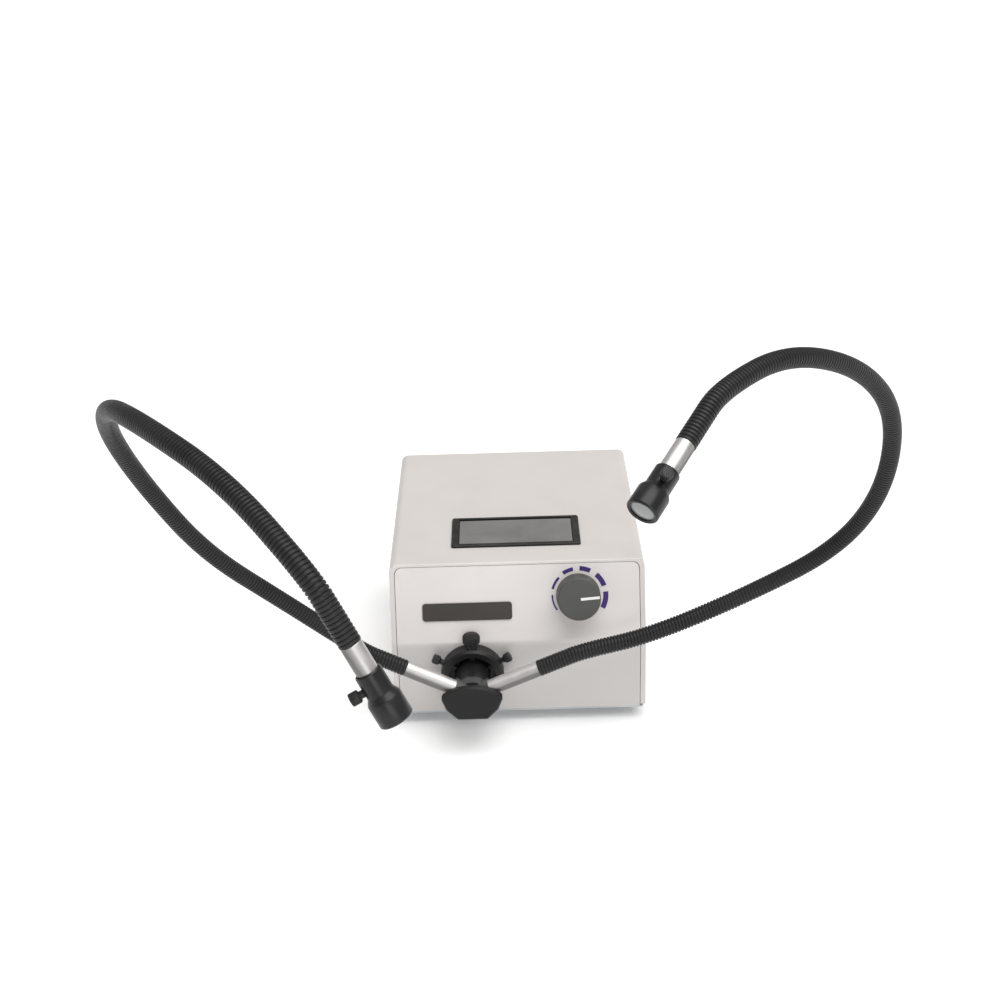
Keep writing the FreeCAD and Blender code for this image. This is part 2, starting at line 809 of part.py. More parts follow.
def block_rise(side):
    """How far a sleeve's axis has risen where it leaves the side of the block."""
    direction = sleeve_dir(side)
    return block_half_width * direction.z / abs(direction.x)


def make_block():
    """The junction's body: a hub in line with the shaft, and a boss round the root of each sleeve."""
    low = shaft_front
    half = block_half_width
    outline = [nose_point(-half, -block_shoulder, low), nose_point(-block_half_width_low, -block_low, low),
               nose_point(block_half_width_low, -block_low, low), nose_point(half, -block_shoulder, low),
               nose_point(half, sleeve_lift + block_rise(1), low), nose_point(0, sleeve_lift, low),
               nose_point(-half, sleeve_lift + block_rise(-1), low)]
    block = prism(outline, OUT * block_length)
    block = block.fuse(rod(nose_point(0, 0, low), OUT, shaft_radius, hub_length))
    slab = block_at(nose_x, nose_height, boss_length + boss_radius, boss_length + boss_radius,
                    front - low - block_length, front - low)
    for side in (-1, 1):
        block = block.fuse(rod(sleeve_apex, sleeve_dir(side), boss_radius, boss_length).common(slab))
    for side in (-1, 1):
        block = block.cut(rod(sleeve_apex - sleeve_dir(side) * sleeve_radius, sleeve_dir(side),
                              sleeve_radius + socket_gap / 2, sleeve_length + sleeve_radius))
    keep("junction_block", block.removeSplitter())


def make_sleeves():
    for side in (-1, 1):
        sleeve = tube(sleeve_apex - sleeve_dir(side) * sleeve_radius, sleeve_dir(side), sleeve_radius,
                      sleeve_bore_radius, sleeve_length + sleeve_radius)
        spigot = tube(sleeve_apex + sleeve_dir(side) * sleeve_length, sleeve_dir(side),
                      hose_bore_radius - socket_gap, sleeve_bore_radius, socket_length)
        edge = nose_x + side * sleeve_mitre_gap / 2
        far = nose_x + side * 2 * (sleeve_length + socket_length)
        keeper = box(min(edge, far), max(edge, far), front - 2 * sleeve_depth, front,
                     nose_height - sleeve_length, nose_height + 2 * sleeve_length)
        name = "left_junction_sleeve" if side < 0 else "right_junction_sleeve"
        keep(name, sleeve.fuse(spigot).common(keeper).removeSplitter())


def make_cap():
    plane = shaft_front + block_length
    out = V(0, -cap_length, 0)

    def point(dx, dz):
        return nose_point(dx, dz, plane)

    top = Part.Arc(point(cap_half_width, cap_side_top), point(0, cap_top), point(-cap_half_width, cap_side_top))
    corners = [point(-cap_half_width, cap_side_top), point(-cap_half_width, cap_side_low),
               point(-cap_low_half_width_mid, -cap_low_height), point(-cap_low_half_width, -cap_low),
               point(cap_low_half_width, -cap_low), point(cap_low_half_width_mid, -cap_low_height),
               point(cap_half_width, cap_side_low), point(cap_half_width, cap_side_top)]
    edges = [top.toShape()] + [Part.makeLine(a, b) for a, b in zip(corners, corners[1:])]
    cap = Part.Face(Part.Wire(edges)).extrude(out)
    upright = [e for e in cap.Edges if abs(e.tangentAt(e.FirstParameter).y) > math.cos(math.pi / 8)
               and len(e.Vertexes) == 2]
    cap = cap.makeFillet(cap_round, upright)
    face_y = nose_point(0, 0, plane + cap_length).y
    rim = [e for e in cap.Edges if abs(e.CenterOfMass.y - face_y) < running_gap]
    keep("junction_cap", cap.makeChamfer(cap_edge, rim))


def route_points(side):
    """A gooseneck's route: its first points leave the junction sleeve straight."""
    start = sleeve_apex + sleeve_dir(side) * sleeve_length
    middle = left_route if side < 0 else right_route
    return [start, start + sleeve_dir(side) * hose_first_run] + [V(*p) for p in middle]


class Route:
    """Straight runs joined by tangent arcs, read by distance from the start."""

    arc_share = 0.45

    def __init__(self, points):
        self.spans = []
        self.radii = []
        here = points[0]
        for before, corner, after in zip(points, points[1:], points[2:]):
            u = unit(corner - before)
            v = unit(after - corner)
            turn = u.getAngle(v)
            reach = self.arc_share * min((corner - before).Length, (after - corner).Length)
            radius = reach / math.tan(turn / 2)
            self.radii.append(radius)
            entry = corner - u * reach
            self.spans.append(("run", (entry - here).Length, here, u, None, None))
            inward = across(u, v)
            self.spans.append(("arc", radius * turn, entry, u, inward, radius))
            here = corner + v * reach
        last = unit(points[-1] - points[-2])
        self.spans.append(("run", (points[-1] - here).Length, here, last, None, None))
        self.length = sum(span[1] for span in self.spans)

    def at(self, distance):
        """Point and direction at a distance along the route."""
        left = min(max(distance, 0), self.length)
        for kind, length, start, u, inward, radius in self.spans:
            if left <= length + shape_tolerance:
                break
            left -= length
        if kind == "run":
            return start + u * left, u
        turn = left / radius
        point = start + u * (radius * math.sin(turn)) + inward * (radius * (1 - math.cos(turn)))
        return point, u * math.cos(turn) + inward * math.sin(turn)


def route_rings(route, profile):
    """Circles square to the route at (distance, radius) pairs, their starts turned as little as can be."""
    rings = []
    mark = Y_AXIS
    for distance, radius in profile:
        point, direction = route.at(distance)
        mark = across(direction, mark)
        circle = Part.makeCircle(radius, V(0, 0, 0), Z_AXIS)
        circle.Placement = FreeCAD.Placement(point, FreeCAD.Rotation(mark, V(0, 0, 0), direction, "ZXY"))
        rings.append(Part.Wire([circle]))
    return rings


def even_steps(start, end, step):
    """Distances from start to end in equal steps near the given one."""
    count = max(1, round((end - start) / step))
    return [start + (end - start) * k / count for k in range(count + 1)]


def hose_solid(route):
    """A ribbed hose with its bore and a plain cuff at each end."""
    valley = hose_radius - hose_rib_depth
    outer = [(0, hose_radius)]
    ribs = round((route.length - 2 * hose_cuff) / hose_rib_pitch)
    pitch = (route.length - 2 * hose_cuff) / ribs
    for k in range(ribs):
        start = hose_cuff + k * pitch
        for share, radius in zip(rib_shares, (hose_radius, valley, valley, hose_radius)):
            outer.append((start + share * pitch, radius))
    outer.append((route.length - hose_cuff, hose_radius))
    outer.append((route.length, hose_radius))
    bore = [(s, hose_bore_radius) for s in even_steps(0, route.length, 2 * hose_rib_pitch)]
    skins = []
    ends = []
    for profile in (outer, bore):
        rings = route_rings(route, profile)
        skins += Part.makeLoft(rings, False, True).Faces
        ends.append((rings[0], rings[-1]))
    lids = []
    for outer_ring, inner_ring in zip(ends[0], ends[1]):
        lid = Part.Face(outer_ring)
        lids.append(lid.cut(Part.Face(inner_ring)).Faces[0])
    shell = Part.Shell(skins + lids)
    solid = Part.Solid(shell)
    solid.fix(shape_tolerance, shape_tolerance, shape_tolerance)
    if solid.Volume < 0:
        solid.reverse()
    return solid, ribs


def bundle_solid(route, end_length):
    """The plain bundle that runs through junction sleeve, hose and end sleeve."""
    profile = [(s, bundle_radius) for s in even_steps(0, route.length, 2 * hose_rib_pitch)]
    body = Part.makeLoft(route_rings(route, profile), True, True)
    lead = sleeve_length - sleeve_radius - block_half_width / 2
    start, direction = route.at(0)
    first = rod(start, -direction, bundle_radius, lead)
    end, direction = route.at(route.length)
    return body.fuse([first, rod(end, direction, bundle_radius, end_length)])


def make_arm(side):
    """Gooseneck, bundle, end sleeve and the lens head on it."""
    name = "left" if side < 0 else "right"
    route = Route(route_points(side))
    hose, ribs = hose_solid(route)
    keep(name + "_gooseneck", hose)
    section = math.pi * (hose_radius ** 2 - hose_bore_radius ** 2)
    print(name, "gooseneck", round(route.length, 1), "mm,", ribs, "ribs, radii",
          [round(r) for r in route.radii], "volume share", round(hose.Volume / section / route.length, 3))
    keep(name + "_bundle", bundle_solid(route, end_sleeve_length - seat_gap))
    end, direction = route.at(route.length)
    hint = left_screw_dir if side < 0 else right_screw_dir
    visible = left_sleeve_visible if side < 0 else right_sleeve_visible
    sleeve = tube(V(0, 0, 0), Z_AXIS, sleeve_radius, sleeve_bore_radius, end_sleeve_length)
    spigot = tube(V(0, 0, -socket_length), Z_AXIS, hose_bore_radius - socket_gap, sleeve_bore_radius,
                  socket_length)
    keep(name + "_end_sleeve", placed(sleeve.fuse(spigot), end, direction, hint))
    make_lens_head(name, end + direction * visible, direction, hint)


barrel_length = barrel_small_length + barrel_cone_length + barrel_large_length


def make_lens_head(name, origin, direction, hint):
    edge = barrel_edge
    bore = sleeve_radius + running_gap
    cone_end = barrel_small_length + barrel_cone_length
    throat_end = barrel_bore_length + barrel_throat_length
    body = lathe([(bore, 0), (barrel_small_radius - edge, 0), (barrel_small_radius, edge),
                  (barrel_small_radius, barrel_small_length), (barrel_large_radius, cone_end),
                  (barrel_large_radius, barrel_length - edge), (barrel_large_radius - edge, barrel_length),
                  (barrel_lens_radius, barrel_length), (barrel_lens_radius, throat_end),
                  (barrel_throat_radius, throat_end), (barrel_throat_radius, barrel_bore_length),
                  (bore, barrel_bore_length)])
    screw_hole = rod(V(0, 0, barrel_screw_place), X_AXIS, barrel_screw_radius + thread_gap, barrel_large_radius)
    body = body.cut(screw_hole)
    seat = barrel_length - lens_inset
    lens = rod(V(0, 0, seat - lens_edge), Z_AXIS, lens_radius, lens_edge)
    dome_drop = math.sqrt(lens_dome_radius ** 2 - lens_radius ** 2)
    dome = Part.makeSphere(lens_dome_radius, V(0, 0, seat - dome_drop))
    dome = dome.common(rod(V(0, 0, seat), Z_AXIS, lens_radius, lens_dome_radius))
    lens = lens.fuse(dome).removeSplitter()
    ring = tube(V(0, 0, seat), Z_AXIS, barrel_lens_radius - running_gap, barrel_lens_radius - lens_ring_width,
                lens_ring_length)
    ring = ring.cut(dome)
    shelf = tube(V(0, 0, throat_end), Z_AXIS, barrel_lens_radius - running_gap,
                 barrel_lens_radius - lens_ring_width, seat - lens_edge - throat_end)
    screw = thumbscrew(barrel_screw_radius, sleeve_radius + screw_tip_gap, barrel_small_radius + running_gap,
                       barrel_screw_neck_height, barrel_screw_head_radius, barrel_screw_head_height)
    top = barrel_small_radius + barrel_screw_neck_height + barrel_screw_head_height + running_gap
    slot = box(-barrel_screw_head_radius, barrel_screw_head_radius, -barrel_screw_slot_width / 2,
               barrel_screw_slot_width / 2, top - barrel_screw_slot_depth, top + overrun)
    screw = placed(screw.cut(slot), V(0, 0, barrel_screw_place), X_AXIS, Z_AXIS)
    keep(name + "_lens_barrel", placed(body, origin, direction, hint))
    keep(name + "_lens", placed(lens, origin, direction, hint))
    keep(name + "_lens_ring", placed(Part.makeCompound([ring, shelf]), origin, direction, hint))
    keep(name + "_barrel_screw", placed(screw, origin, direction, hint))


def make_lamp():
    """Reflector lamp, heat filter and bracket, all on the nose axis behind the guide."""
    plate_front = lamp_rim_depth - bracket_sheet
    plate = box(nose_x - bracket_half_width, nose_x + bracket_half_width, front + plate_front,
                front + lamp_rim_depth, base_sheet, bracket_top)
    plate = plate.cut(rod(nose_point(0, 0, -plate_front + overrun), -OUT, bracket_hole_radius,
                          bracket_sheet + 2 * overrun))
    foot = box(nose_x - bracket_half_width, nose_x + bracket_half_width, front + plate_front - bracket_foot,
               front + plate_front, base_sheet, base_sheet + bracket_sheet)
    ring = tube(nose_point(0, 0, -plate_front), OUT, bracket_hole_radius + filter_ring_wall,
                filter_radius + running_gap, filter_ring_length)
    holder = plate.fuse([foot, ring])
    keep("heat_filter", rod(nose_point(0, 0, filter_back_gap - plate_front), OUT, filter_radius,
                            filter_thickness))
    outer = []
    inner = []
    for k in range(reflector_steps + 1):
        share = k / reflector_steps
        radius = lamp_neck_radius + (lamp_radius - lamp_neck_radius) * math.sqrt(share)
        outer.append((radius, lamp_depth * (1 - share)))
    for radius, height in reversed(outer):
        inner.append((max(radius - lamp_wall, capsule_radius + seat_gap), height))
    neck = lamp_depth + lamp_neck_length
    profile = [(0, neck), (lamp_neck_radius, neck)] + outer + inner + [(0, lamp_depth)]
    reflector = lathe(profile)
    tip = lamp_depth - capsule_length
    capsule = lathe([(0, tip), (capsule_radius / 2, tip), (capsule_radius, tip + capsule_tip_length),
                     (capsule_radius, lamp_depth), (0, lamp_depth)])
    rim = nose_point(0, 0, -lamp_rim_depth)
    pins = [rod(V(x, 0, neck), Z_AXIS, lamp_pin_radius, lamp_pin_length)
            for x in (-lamp_pin_spacing / 2, lamp_pin_spacing / 2)]
    lamp = reflector.fuse([capsule] + pins).removeSplitter()
    keep("reflector_lamp", placed(lamp, rim, -OUT, X_AXIS))
    socket_y = front + lamp_rim_depth + neck
    socket = box(nose_x - socket_body_width / 2, nose_x + socket_body_width / 2, socket_y,
                 socket_y + socket_body_length, nose_height - socket_body_height / 2,
                 nose_height + socket_body_height / 2)
    for s in (-1, 1):
        socket = socket.cut(rod(V(nose_x + s * lamp_pin_spacing / 2, socket_y, nose_height), Y_AXIS,
                                lamp_pin_radius + lamp_pin_gap, lamp_pin_length + seat_gap))
    keep("lamp_socket", socket)
    wall_y = socket_y + socket_body_length
    half = socket_bracket_width / 2
    wall = box(nose_x - half, nose_x + half, wall_y, wall_y + bracket_sheet, base_sheet,
               nose_height + socket_body_height / 2)
    strip = box(nose_x - half, nose_x + half, front + plate_front, wall_y + bracket_sheet, base_sheet,
                base_sheet + bracket_sheet)
    keep("lamp_bracket", holder.fuse([wall, strip]).removeSplitter())


def make_transformer():
    x, y = core_centre_x, core_centre_y
    low = base_sheet + core_foot_height
    core = box(x - core_width / 2, x + core_width / 2, y - core_depth / 2, y + core_depth / 2,
               low, low + core_height)
    window_low = low + (core_height - core_window_height) / 2
    windows = []
    for s in (-1, 1):
        inner = x + s * core_leg / 2
        outer = inner + s * core_window_width
        windows.append(box(min(inner, outer), max(inner, outer), y - core_depth / 2 - overrun,
                           y + core_depth / 2 + overrun, window_low, window_low + core_window_height))
    for window in windows:
        core = core.cut(window)
    foot = box(x - core_width / 2 - core_foot_length, x + core_width / 2 + core_foot_length,
               y - core_depth / 4, y + core_depth / 4, base_sheet, low)
    keep("transformer_core", core.fuse(foot).removeSplitter())
    half = core_leg / 2 + core_window_width - winding_gap
    coil = box(x - half, x + half, y - core_depth / 2 - winding_swell, y + core_depth / 2 + winding_swell,
               window_low + winding_gap, window_low + core_window_height - winding_gap)
    coil = coil.makeFillet(winding_swell / 2, [e for e in coil.Edges
                                              if abs(e.tangentAt(e.FirstParameter).z) > math.cos(math.pi / 8)])
    leg = box(x - core_leg / 2 - winding_gap, x + core_leg / 2 + winding_gap, y - core_depth / 2 - winding_gap,
              y + core_depth / 2 + winding_gap, low, low + core_height)
    keep("transformer_winding", coil.cut(leg))


def make_board():
    x, y = board_centre_x, board_centre_y
    low = base_sheet + board_height
    half_x = board_width / 2
    half_y = board_depth / 2
    keep("control_board", box(x - half_x, x + half_x, y - half_y, y + half_y, low, low + board_thickness))
    posts = []
    for sx in (-1, 1):
        for sy in (-1, 1):
            spot = V(x + sx * (half_x - standoff_inset), y + sy * (half_y - standoff_inset), base_sheet)
            posts.append(rod(spot, Z_AXIS, standoff_radius, board_height))
    keep("board_standoffs", Part.makeCompound(posts))
    top = low + board_thickness
    sink = box(x - sink_width / 2, x + sink_width / 2, y, y + sink_base, top, top + sink_height)
    pitch = (sink_width - sink_fin_width) / (sink_fins - 1)
    for k in range(sink_fins):
        fin_x = x - sink_width / 2 + k * pitch
        sink = sink.fuse(box(fin_x, fin_x + sink_fin_width, y + sink_base, y + sink_depth,
                             top, top + sink_height))
    keep("heat_sink", sink.removeSplitter())


fan_back = back - panel_sheet
fan_front = fan_back - fan_depth
fan_centre = V(fan_x, fan_front, fan_height)


def fan_corner_places(y):
    return [V(fan_x + sx * fan_hole_spacing / 2, y, fan_height + sz * fan_hole_spacing / 2)
            for sx in (-1, 1) for sz in (-1, 1)]


def make_fan():
    frame = placed(rounded_plate(fan_size, fan_size, fan_depth, fan_corner), fan_centre, Y_AXIS, X_AXIS)
    frame = frame.cut(rod(fan_centre - Y_AXIS * overrun, Y_AXIS, fan_bore_radius, fan_depth + 2 * overrun))
    hub = rod(fan_centre, Y_AXIS, fan_hub_radius, fan_strut_depth)
    struts = []
    for k in range(fan_strut_count):
        strut = box(0, fan_bore_radius + fan_corner / 2, -fan_strut_width / 2, fan_strut_width / 2,
                    0, fan_strut_depth)
        strut.rotate(V(0, 0, 0), Z_AXIS, 360 / fan_strut_count * (k + 1 / 2))
        struts.append(placed(strut, fan_centre, Y_AXIS, X_AXIS))
    boss = rod(fan_centre, Y_AXIS, fan_boss_radius, fan_strut_depth + fan_boss_length)
    frame = frame.fuse([hub, boss] + struts)
    frame = frame.cut(rod(fan_centre - Y_AXIS * overrun, Y_AXIS, fan_shaft_radius + running_gap,
                          fan_depth + 2 * overrun))
    for spot in fan_corner_places(fan_front):
        frame = frame.cut(rod(spot - Y_AXIS * overrun, Y_AXIS, fan_screw_radius + screw_hole_gap,
                              fan_depth + 2 * overrun))
    keep("fan_frame", frame.removeSplitter())
    start = fan_strut_depth + seat_gap
    end = fan_depth - overrun / 2
    cup = lathe([(fan_boss_radius + seat_gap, start), (fan_hub_radius, start), (fan_hub_radius, end),
                 (0, end), (0, end - fan_hub_wall), (fan_hub_radius - fan_hub_wall, end - fan_hub_wall),
                 (fan_hub_radius - fan_hub_wall, start + fan_hub_wall),
                 (fan_boss_radius + seat_gap, start + fan_hub_wall)])
    shaft = rod(V(0, 0, seat_gap), Z_AXIS, fan_shaft_radius, end - seat_gap)
    rotor = cup.fuse(shaft)
    reach = fan_bore_radius - fan_blade_tip_gap
    limits = tube(V(0, 0, start), Z_AXIS, reach, fan_hub_radius - fan_hub_wall / 2, end - start)
    blades = []
    for k in range(fan_blade_count):
        blade = box(0, reach, -fan_blade_sheet / 2, fan_blade_sheet / 2,
                    -fan_blade_chord / 2, fan_blade_chord / 2)
        blade.rotate(V(0, 0, 0), X_AXIS, fan_blade_pitch)
        blade.translate(V(0, 0, (start + end) / 2))
        blade.rotate(V(0, 0, 0), Z_AXIS, 360 / fan_blade_count * k)
        blades.append(blade.common(limits))
    rotor = rotor.fuse(blades).removeSplitter()
    keep("fan_rotor", placed(rotor, fan_centre, Y_AXIS, X_AXIS))


def make_guard():
    centre = V(fan_x, back, fan_height)
    wires = []
    for k in range(guard_rings):
        radius = guard_inner_radius + (guard_outer_radius - guard_inner_radius) * k / (guard_rings - 1)
        wires.append(tube(centre, Y_AXIS, radius + guard_wire, radius - guard_wire, 2 * guard_wire))
    for k in range(fan_strut_count):
        spoke = box(guard_inner_radius, fan_hole_spacing / math.sqrt(2), -guard_wire, guard_wire,
                    0, 2 * guard_wire)
        spoke.rotate(V(0, 0, 0), Z_AXIS, 360 / fan_strut_count * (k + 1 / 2))
        wires.append(placed(spoke, centre, Y_AXIS, X_AXIS))
    for spot in fan_corner_places(back):
        wires.append(rod(spot, Y_AXIS, guard_ear_radius, 2 * guard_wire))
    guard = wires[0].fuse(wires[1:])
    for spot in fan_corner_places(back):
        guard = guard.cut(rod(spot - Y_AXIS * overrun, Y_AXIS, fan_screw_radius + screw_hole_gap,
                              2 * (overrun + guard_wire)))
    keep("fan_guard", guard.removeSplitter())
    screws = []
    for spot in fan_corner_places(back + 2 * guard_wire):
        screw = rod(spot, Y_AXIS, fan_screw_head_radius, fan_screw_head_height)
        shank = 2 * guard_wire + panel_sheet + fan_depth
        screws.append(screw.fuse(rod(spot, -Y_AXIS, fan_screw_radius, shank)))
    keep("fan_screws", Part.makeCompound(screws))


def make_rear_panel():
    side = half_width - cover_sheet - seat_gap
    panel = box(-side, side, back - panel_sheet, back, base_sheet, housing_height - cover_sheet - seat_gap)
    edges = [e for e in panel.Edges if abs(e.tangentAt(e.FirstParameter).y) > math.cos(math.pi / 8)
             and e.CenterOfMass.z > knee_height]
    panel = panel.makeFillet(bend_radius - cover_sheet, edges)
    cutters = [rod(V(fan_x, back - panel_sheet - overrun, fan_height), Y_AXIS, fan_bore_radius,
                   panel_sheet + 2 * overrun)]
    for spot in fan_corner_places(back - panel_sheet - overrun):
        cutters.append(rod(spot, Y_AXIS, fan_screw_radius + screw_hole_gap, panel_sheet + 2 * overrun))
    for x, z, w, h in ((inlet_x, inlet_height, inlet_body_width, inlet_body_height),
                       (switch_x, switch_height, switch_body_width, switch_body_height)):
        cutters.append(block_at(x, z, w / 2 + running_gap, h / 2 + running_gap, back - panel_sheet - overrun,
                                back + overrun))
    cutters.append(rod(rear_point(fuse_x, fuse_height, -panel_sheet - overrun), Y_AXIS,
                       fuse_holder_radius + running_gap, panel_sheet + 2 * overrun))
    for cutter in cutters:
        panel = panel.cut(cutter)
    keep("rear_panel", panel)


def make_inlet():
    flange = rounded_plate(inlet_flange_width, inlet_flange_height, inlet_flange_thickness, inlet_corner)
    flange = placed(flange, rear_point(inlet_x, inlet_height, 0), Y_AXIS, X_AXIS)
    mouth = back + inlet_flange_thickness
    body = block_at(inlet_x, inlet_height, inlet_body_width / 2, inlet_body_height / 2,
                    back - inlet_body_depth, back)
    cavity = block_at(inlet_x, inlet_height, inlet_cavity_width / 2, inlet_cavity_height / 2,
                      mouth - inlet_cavity_depth, mouth + overrun)
    pins = []
    for k in (-1, 0, 1):
        lift = inlet_pin_lift if k == 0 else -inlet_pin_lift
        pins.append(block_at(inlet_x + k * inlet_pin_spacing, inlet_height + lift, inlet_pin_width / 2,
                             inlet_pin_height / 2, mouth - inlet_cavity_depth, mouth - inlet_pin_recess))
    keep("power_inlet", flange.fuse(body).cut(cavity).fuse(pins).removeSplitter())


pivot_y = back + switch_flange_thickness - rocker_pivot_depth


def make_switch():
    flange = rounded_plate(switch_flange_width, switch_flange_height, switch_flange_thickness,
                           switch_flange_thickness)
    flange = placed(flange, rear_point(switch_x, switch_height, 0), Y_AXIS, X_AXIS)
    body = block_at(switch_x, switch_height, switch_body_width / 2, switch_body_height / 2,
                    back - switch_body_depth, back)
    half_w = rocker_width / 2 + rocker_side_gap
    half_h = rocker_radius + rocker_side_gap
    cavity = block_at(switch_x, switch_height, half_w, half_h, pivot_y - half_h,
                      back + switch_flange_thickness + overrun)
    frame = flange.fuse(body).cut(cavity)
    pin = rod(V(switch_x - half_w, pivot_y, switch_height), X_AXIS, rocker_pin_radius, 2 * half_w)
    keep("power_switch", frame.fuse(pin).removeSplitter())
    disc = rod(V(-rocker_width / 2, 0, 0), X_AXIS, rocker_radius, rocker_width)
    slant = math.tan(math.radians(rocker_tilt))
    rise = rocker_pivot_depth + rocker_rise
    end = rocker_radius - rise * slant
    outline = [(-rocker_radius, 0), (rocker_radius, 0), (end, rise), (0, rise - end * slant), (-end, rise)]
    wings = prism([V(-rocker_width / 2, y, z) for y, z in outline], V(rocker_width, 0, 0))
    lower = disc.common(box(-rocker_width, rocker_width, -2 * rocker_radius, 2 * rocker_radius,
                            -2 * rocker_radius, 0))
    rocker = lower.fuse(wings).cut(rod(V(-rocker_width, 0, 0), X_AXIS, rocker_pin_radius + running_gap,
                                       2 * rocker_width))
    rocker.rotate(V(0, 0, 0), X_AXIS, rocker_tilt)
    keep("switch_rocker", placed(rocker.removeSplitter(), V(switch_x, pivot_y, switch_height), Y_AXIS, X_AXIS))


def make_fuse():
    origin = rear_point(fuse_x, fuse_height, 0)
    holder = rod(origin, -Y_AXIS, fuse_holder_radius, fuse_holder_length)
    holder = holder.fuse(rod(origin, Y_AXIS, fuse_flange_radius, fuse_flange_thickness))
    holder = holder.cut(rod(origin + Y_AXIS * overrun, -Y_AXIS, fuse_bore_radius, fuse_length + 2 * overrun))
    keep("fuse_holder", holder.removeSplitter())
    seat = origin + Y_AXIS * (fuse_flange_thickness + running_gap)
    cap = placed(knurled(fuse_cap_radius, fuse_cap_length, knurl_teeth, knurl_depth), seat, Y_AXIS, X_AXIS)
    slot = box(fuse_x - fuse_cap_radius, fuse_x + fuse_cap_radius,
               seat.y + fuse_cap_length - fuse_cap_slot_depth, seat.y + fuse_cap_length + overrun,
               fuse_height - fuse_cap_slot_width / 2, fuse_height + fuse_cap_slot_width / 2)
    keep("fuse_cap", cap.cut(slot).fuse(rod(seat, -Y_AXIS, fuse_radius, fuse_length)).removeSplitter())


def main():
    make_cover()
    make_cover_screws()
    make_front_panel()
    make_chassis()
    make_feet()
    make_handle()
    make_knob()
    make_potentiometer()
    make_marks()
    make_name_plate()
    make_collar()
    make_collar_screws()
    make_guide_plug()
    make_block()
    make_sleeves()
    make_cap()
    make_arm(-1)
    make_arm(1)
    make_lamp()
    make_transformer()
    make_board()
    make_fan()
    make_guard()
    make_rear_panel()
    make_inlet()
    make_switch()
    make_fuse()
    os.makedirs("parts", exist_ok=True)
    for name, shape in pieces.items():
        if not shape.isValid() or not shape.Solids:
            print("NOT VALID", name)
        shape.exportStep("parts/" + name + ".step")
    print(len(pieces), "pieces")


main()
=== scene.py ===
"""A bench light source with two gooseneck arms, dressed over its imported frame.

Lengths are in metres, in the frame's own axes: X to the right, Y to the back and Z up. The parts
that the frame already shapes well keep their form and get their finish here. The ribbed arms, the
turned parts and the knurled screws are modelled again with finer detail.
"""

import bpy
import bmesh
import math
from mathutils import Matrix, Vector


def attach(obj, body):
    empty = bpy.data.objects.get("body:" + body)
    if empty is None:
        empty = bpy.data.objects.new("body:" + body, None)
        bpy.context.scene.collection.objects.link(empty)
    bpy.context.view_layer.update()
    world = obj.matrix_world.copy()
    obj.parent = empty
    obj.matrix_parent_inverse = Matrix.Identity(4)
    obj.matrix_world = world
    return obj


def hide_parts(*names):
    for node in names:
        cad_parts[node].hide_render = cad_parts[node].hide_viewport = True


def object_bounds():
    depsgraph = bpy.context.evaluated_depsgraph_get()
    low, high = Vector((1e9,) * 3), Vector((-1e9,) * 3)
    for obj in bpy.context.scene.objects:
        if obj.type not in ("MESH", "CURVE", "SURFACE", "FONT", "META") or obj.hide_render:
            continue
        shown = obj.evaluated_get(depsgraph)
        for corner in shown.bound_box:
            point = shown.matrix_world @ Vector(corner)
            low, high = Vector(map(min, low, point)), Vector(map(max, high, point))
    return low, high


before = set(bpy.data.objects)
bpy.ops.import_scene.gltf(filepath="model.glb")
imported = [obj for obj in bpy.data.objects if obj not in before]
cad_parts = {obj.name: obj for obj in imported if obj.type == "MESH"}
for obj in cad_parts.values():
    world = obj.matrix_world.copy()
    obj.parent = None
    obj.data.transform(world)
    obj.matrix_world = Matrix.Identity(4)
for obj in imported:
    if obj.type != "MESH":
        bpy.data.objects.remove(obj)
cad_low, cad_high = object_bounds()

MM = 0.001


# Camera

CAMERA_PLACE = Vector((-0.00387, -0.9923, 0.5831))
CAMERA_YAW = math.radians(-0.35)
CAMERA_PITCH = math.radians(25.53)
CAMERA_ROLL = math.radians(-1.79)
CAMERA_LENS = 57.6
CAMERA_SENSOR = 36
CAMERA_REACH = 50


def set_camera():
    """The camera at the photograph's viewing angle."""
    ahead = Vector((
        math.sin(CAMERA_YAW) * math.cos(CAMERA_PITCH),
        math.cos(CAMERA_YAW) * math.cos(CAMERA_PITCH),
        -math.sin(CAMERA_PITCH),
    ))
    level = Vector((math.cos(CAMERA_YAW), -math.sin(CAMERA_YAW), 0))
    upright = level.cross(ahead)
    right = level * math.cos(CAMERA_ROLL) + upright * math.sin(CAMERA_ROLL)
    up = upright * math.cos(CAMERA_ROLL) - level * math.sin(CAMERA_ROLL)
    bpy.ops.object.camera_add(location=CAMERA_PLACE)
    camera = bpy.context.object
    camera.name = "Photo camera"
    turn = Matrix((right, up, -ahead)).transposed().to_4x4()
    camera.matrix_world = Matrix.Translation(CAMERA_PLACE) @ turn
    camera.data.lens = CAMERA_LENS
    camera.data.sensor_width = CAMERA_SENSOR
    camera.data.clip_end = CAMERA_REACH
    bpy.context.scene.camera = camera


set_camera()


# Handling of pieces

SMOOTH_BELOW = math.radians(40)
SAME_PLACE = 0.02 * MM
GROOVE_SHARE = 0.45


def put_down():
    """Leave edit mode with nothing selected."""
    if bpy.context.object and bpy.context.object.mode == "EDIT":
        bpy.ops.object.mode_set(mode="OBJECT")
    bpy.ops.object.select_all(action="DESELECT")


def pick_up(piece):
    """Select this piece alone."""
    put_down()
    piece.select_set(True)
    bpy.context.view_layer.objects.active = piece


def edit(piece, kind="VERT"):
    """Enter edit mode on this piece, with nothing of it selected."""
    pick_up(piece)
    bpy.ops.object.mode_set(mode="EDIT")
    bpy.ops.mesh.select_mode(type=kind)
    bpy.ops.mesh.select_all(action="DESELECT")


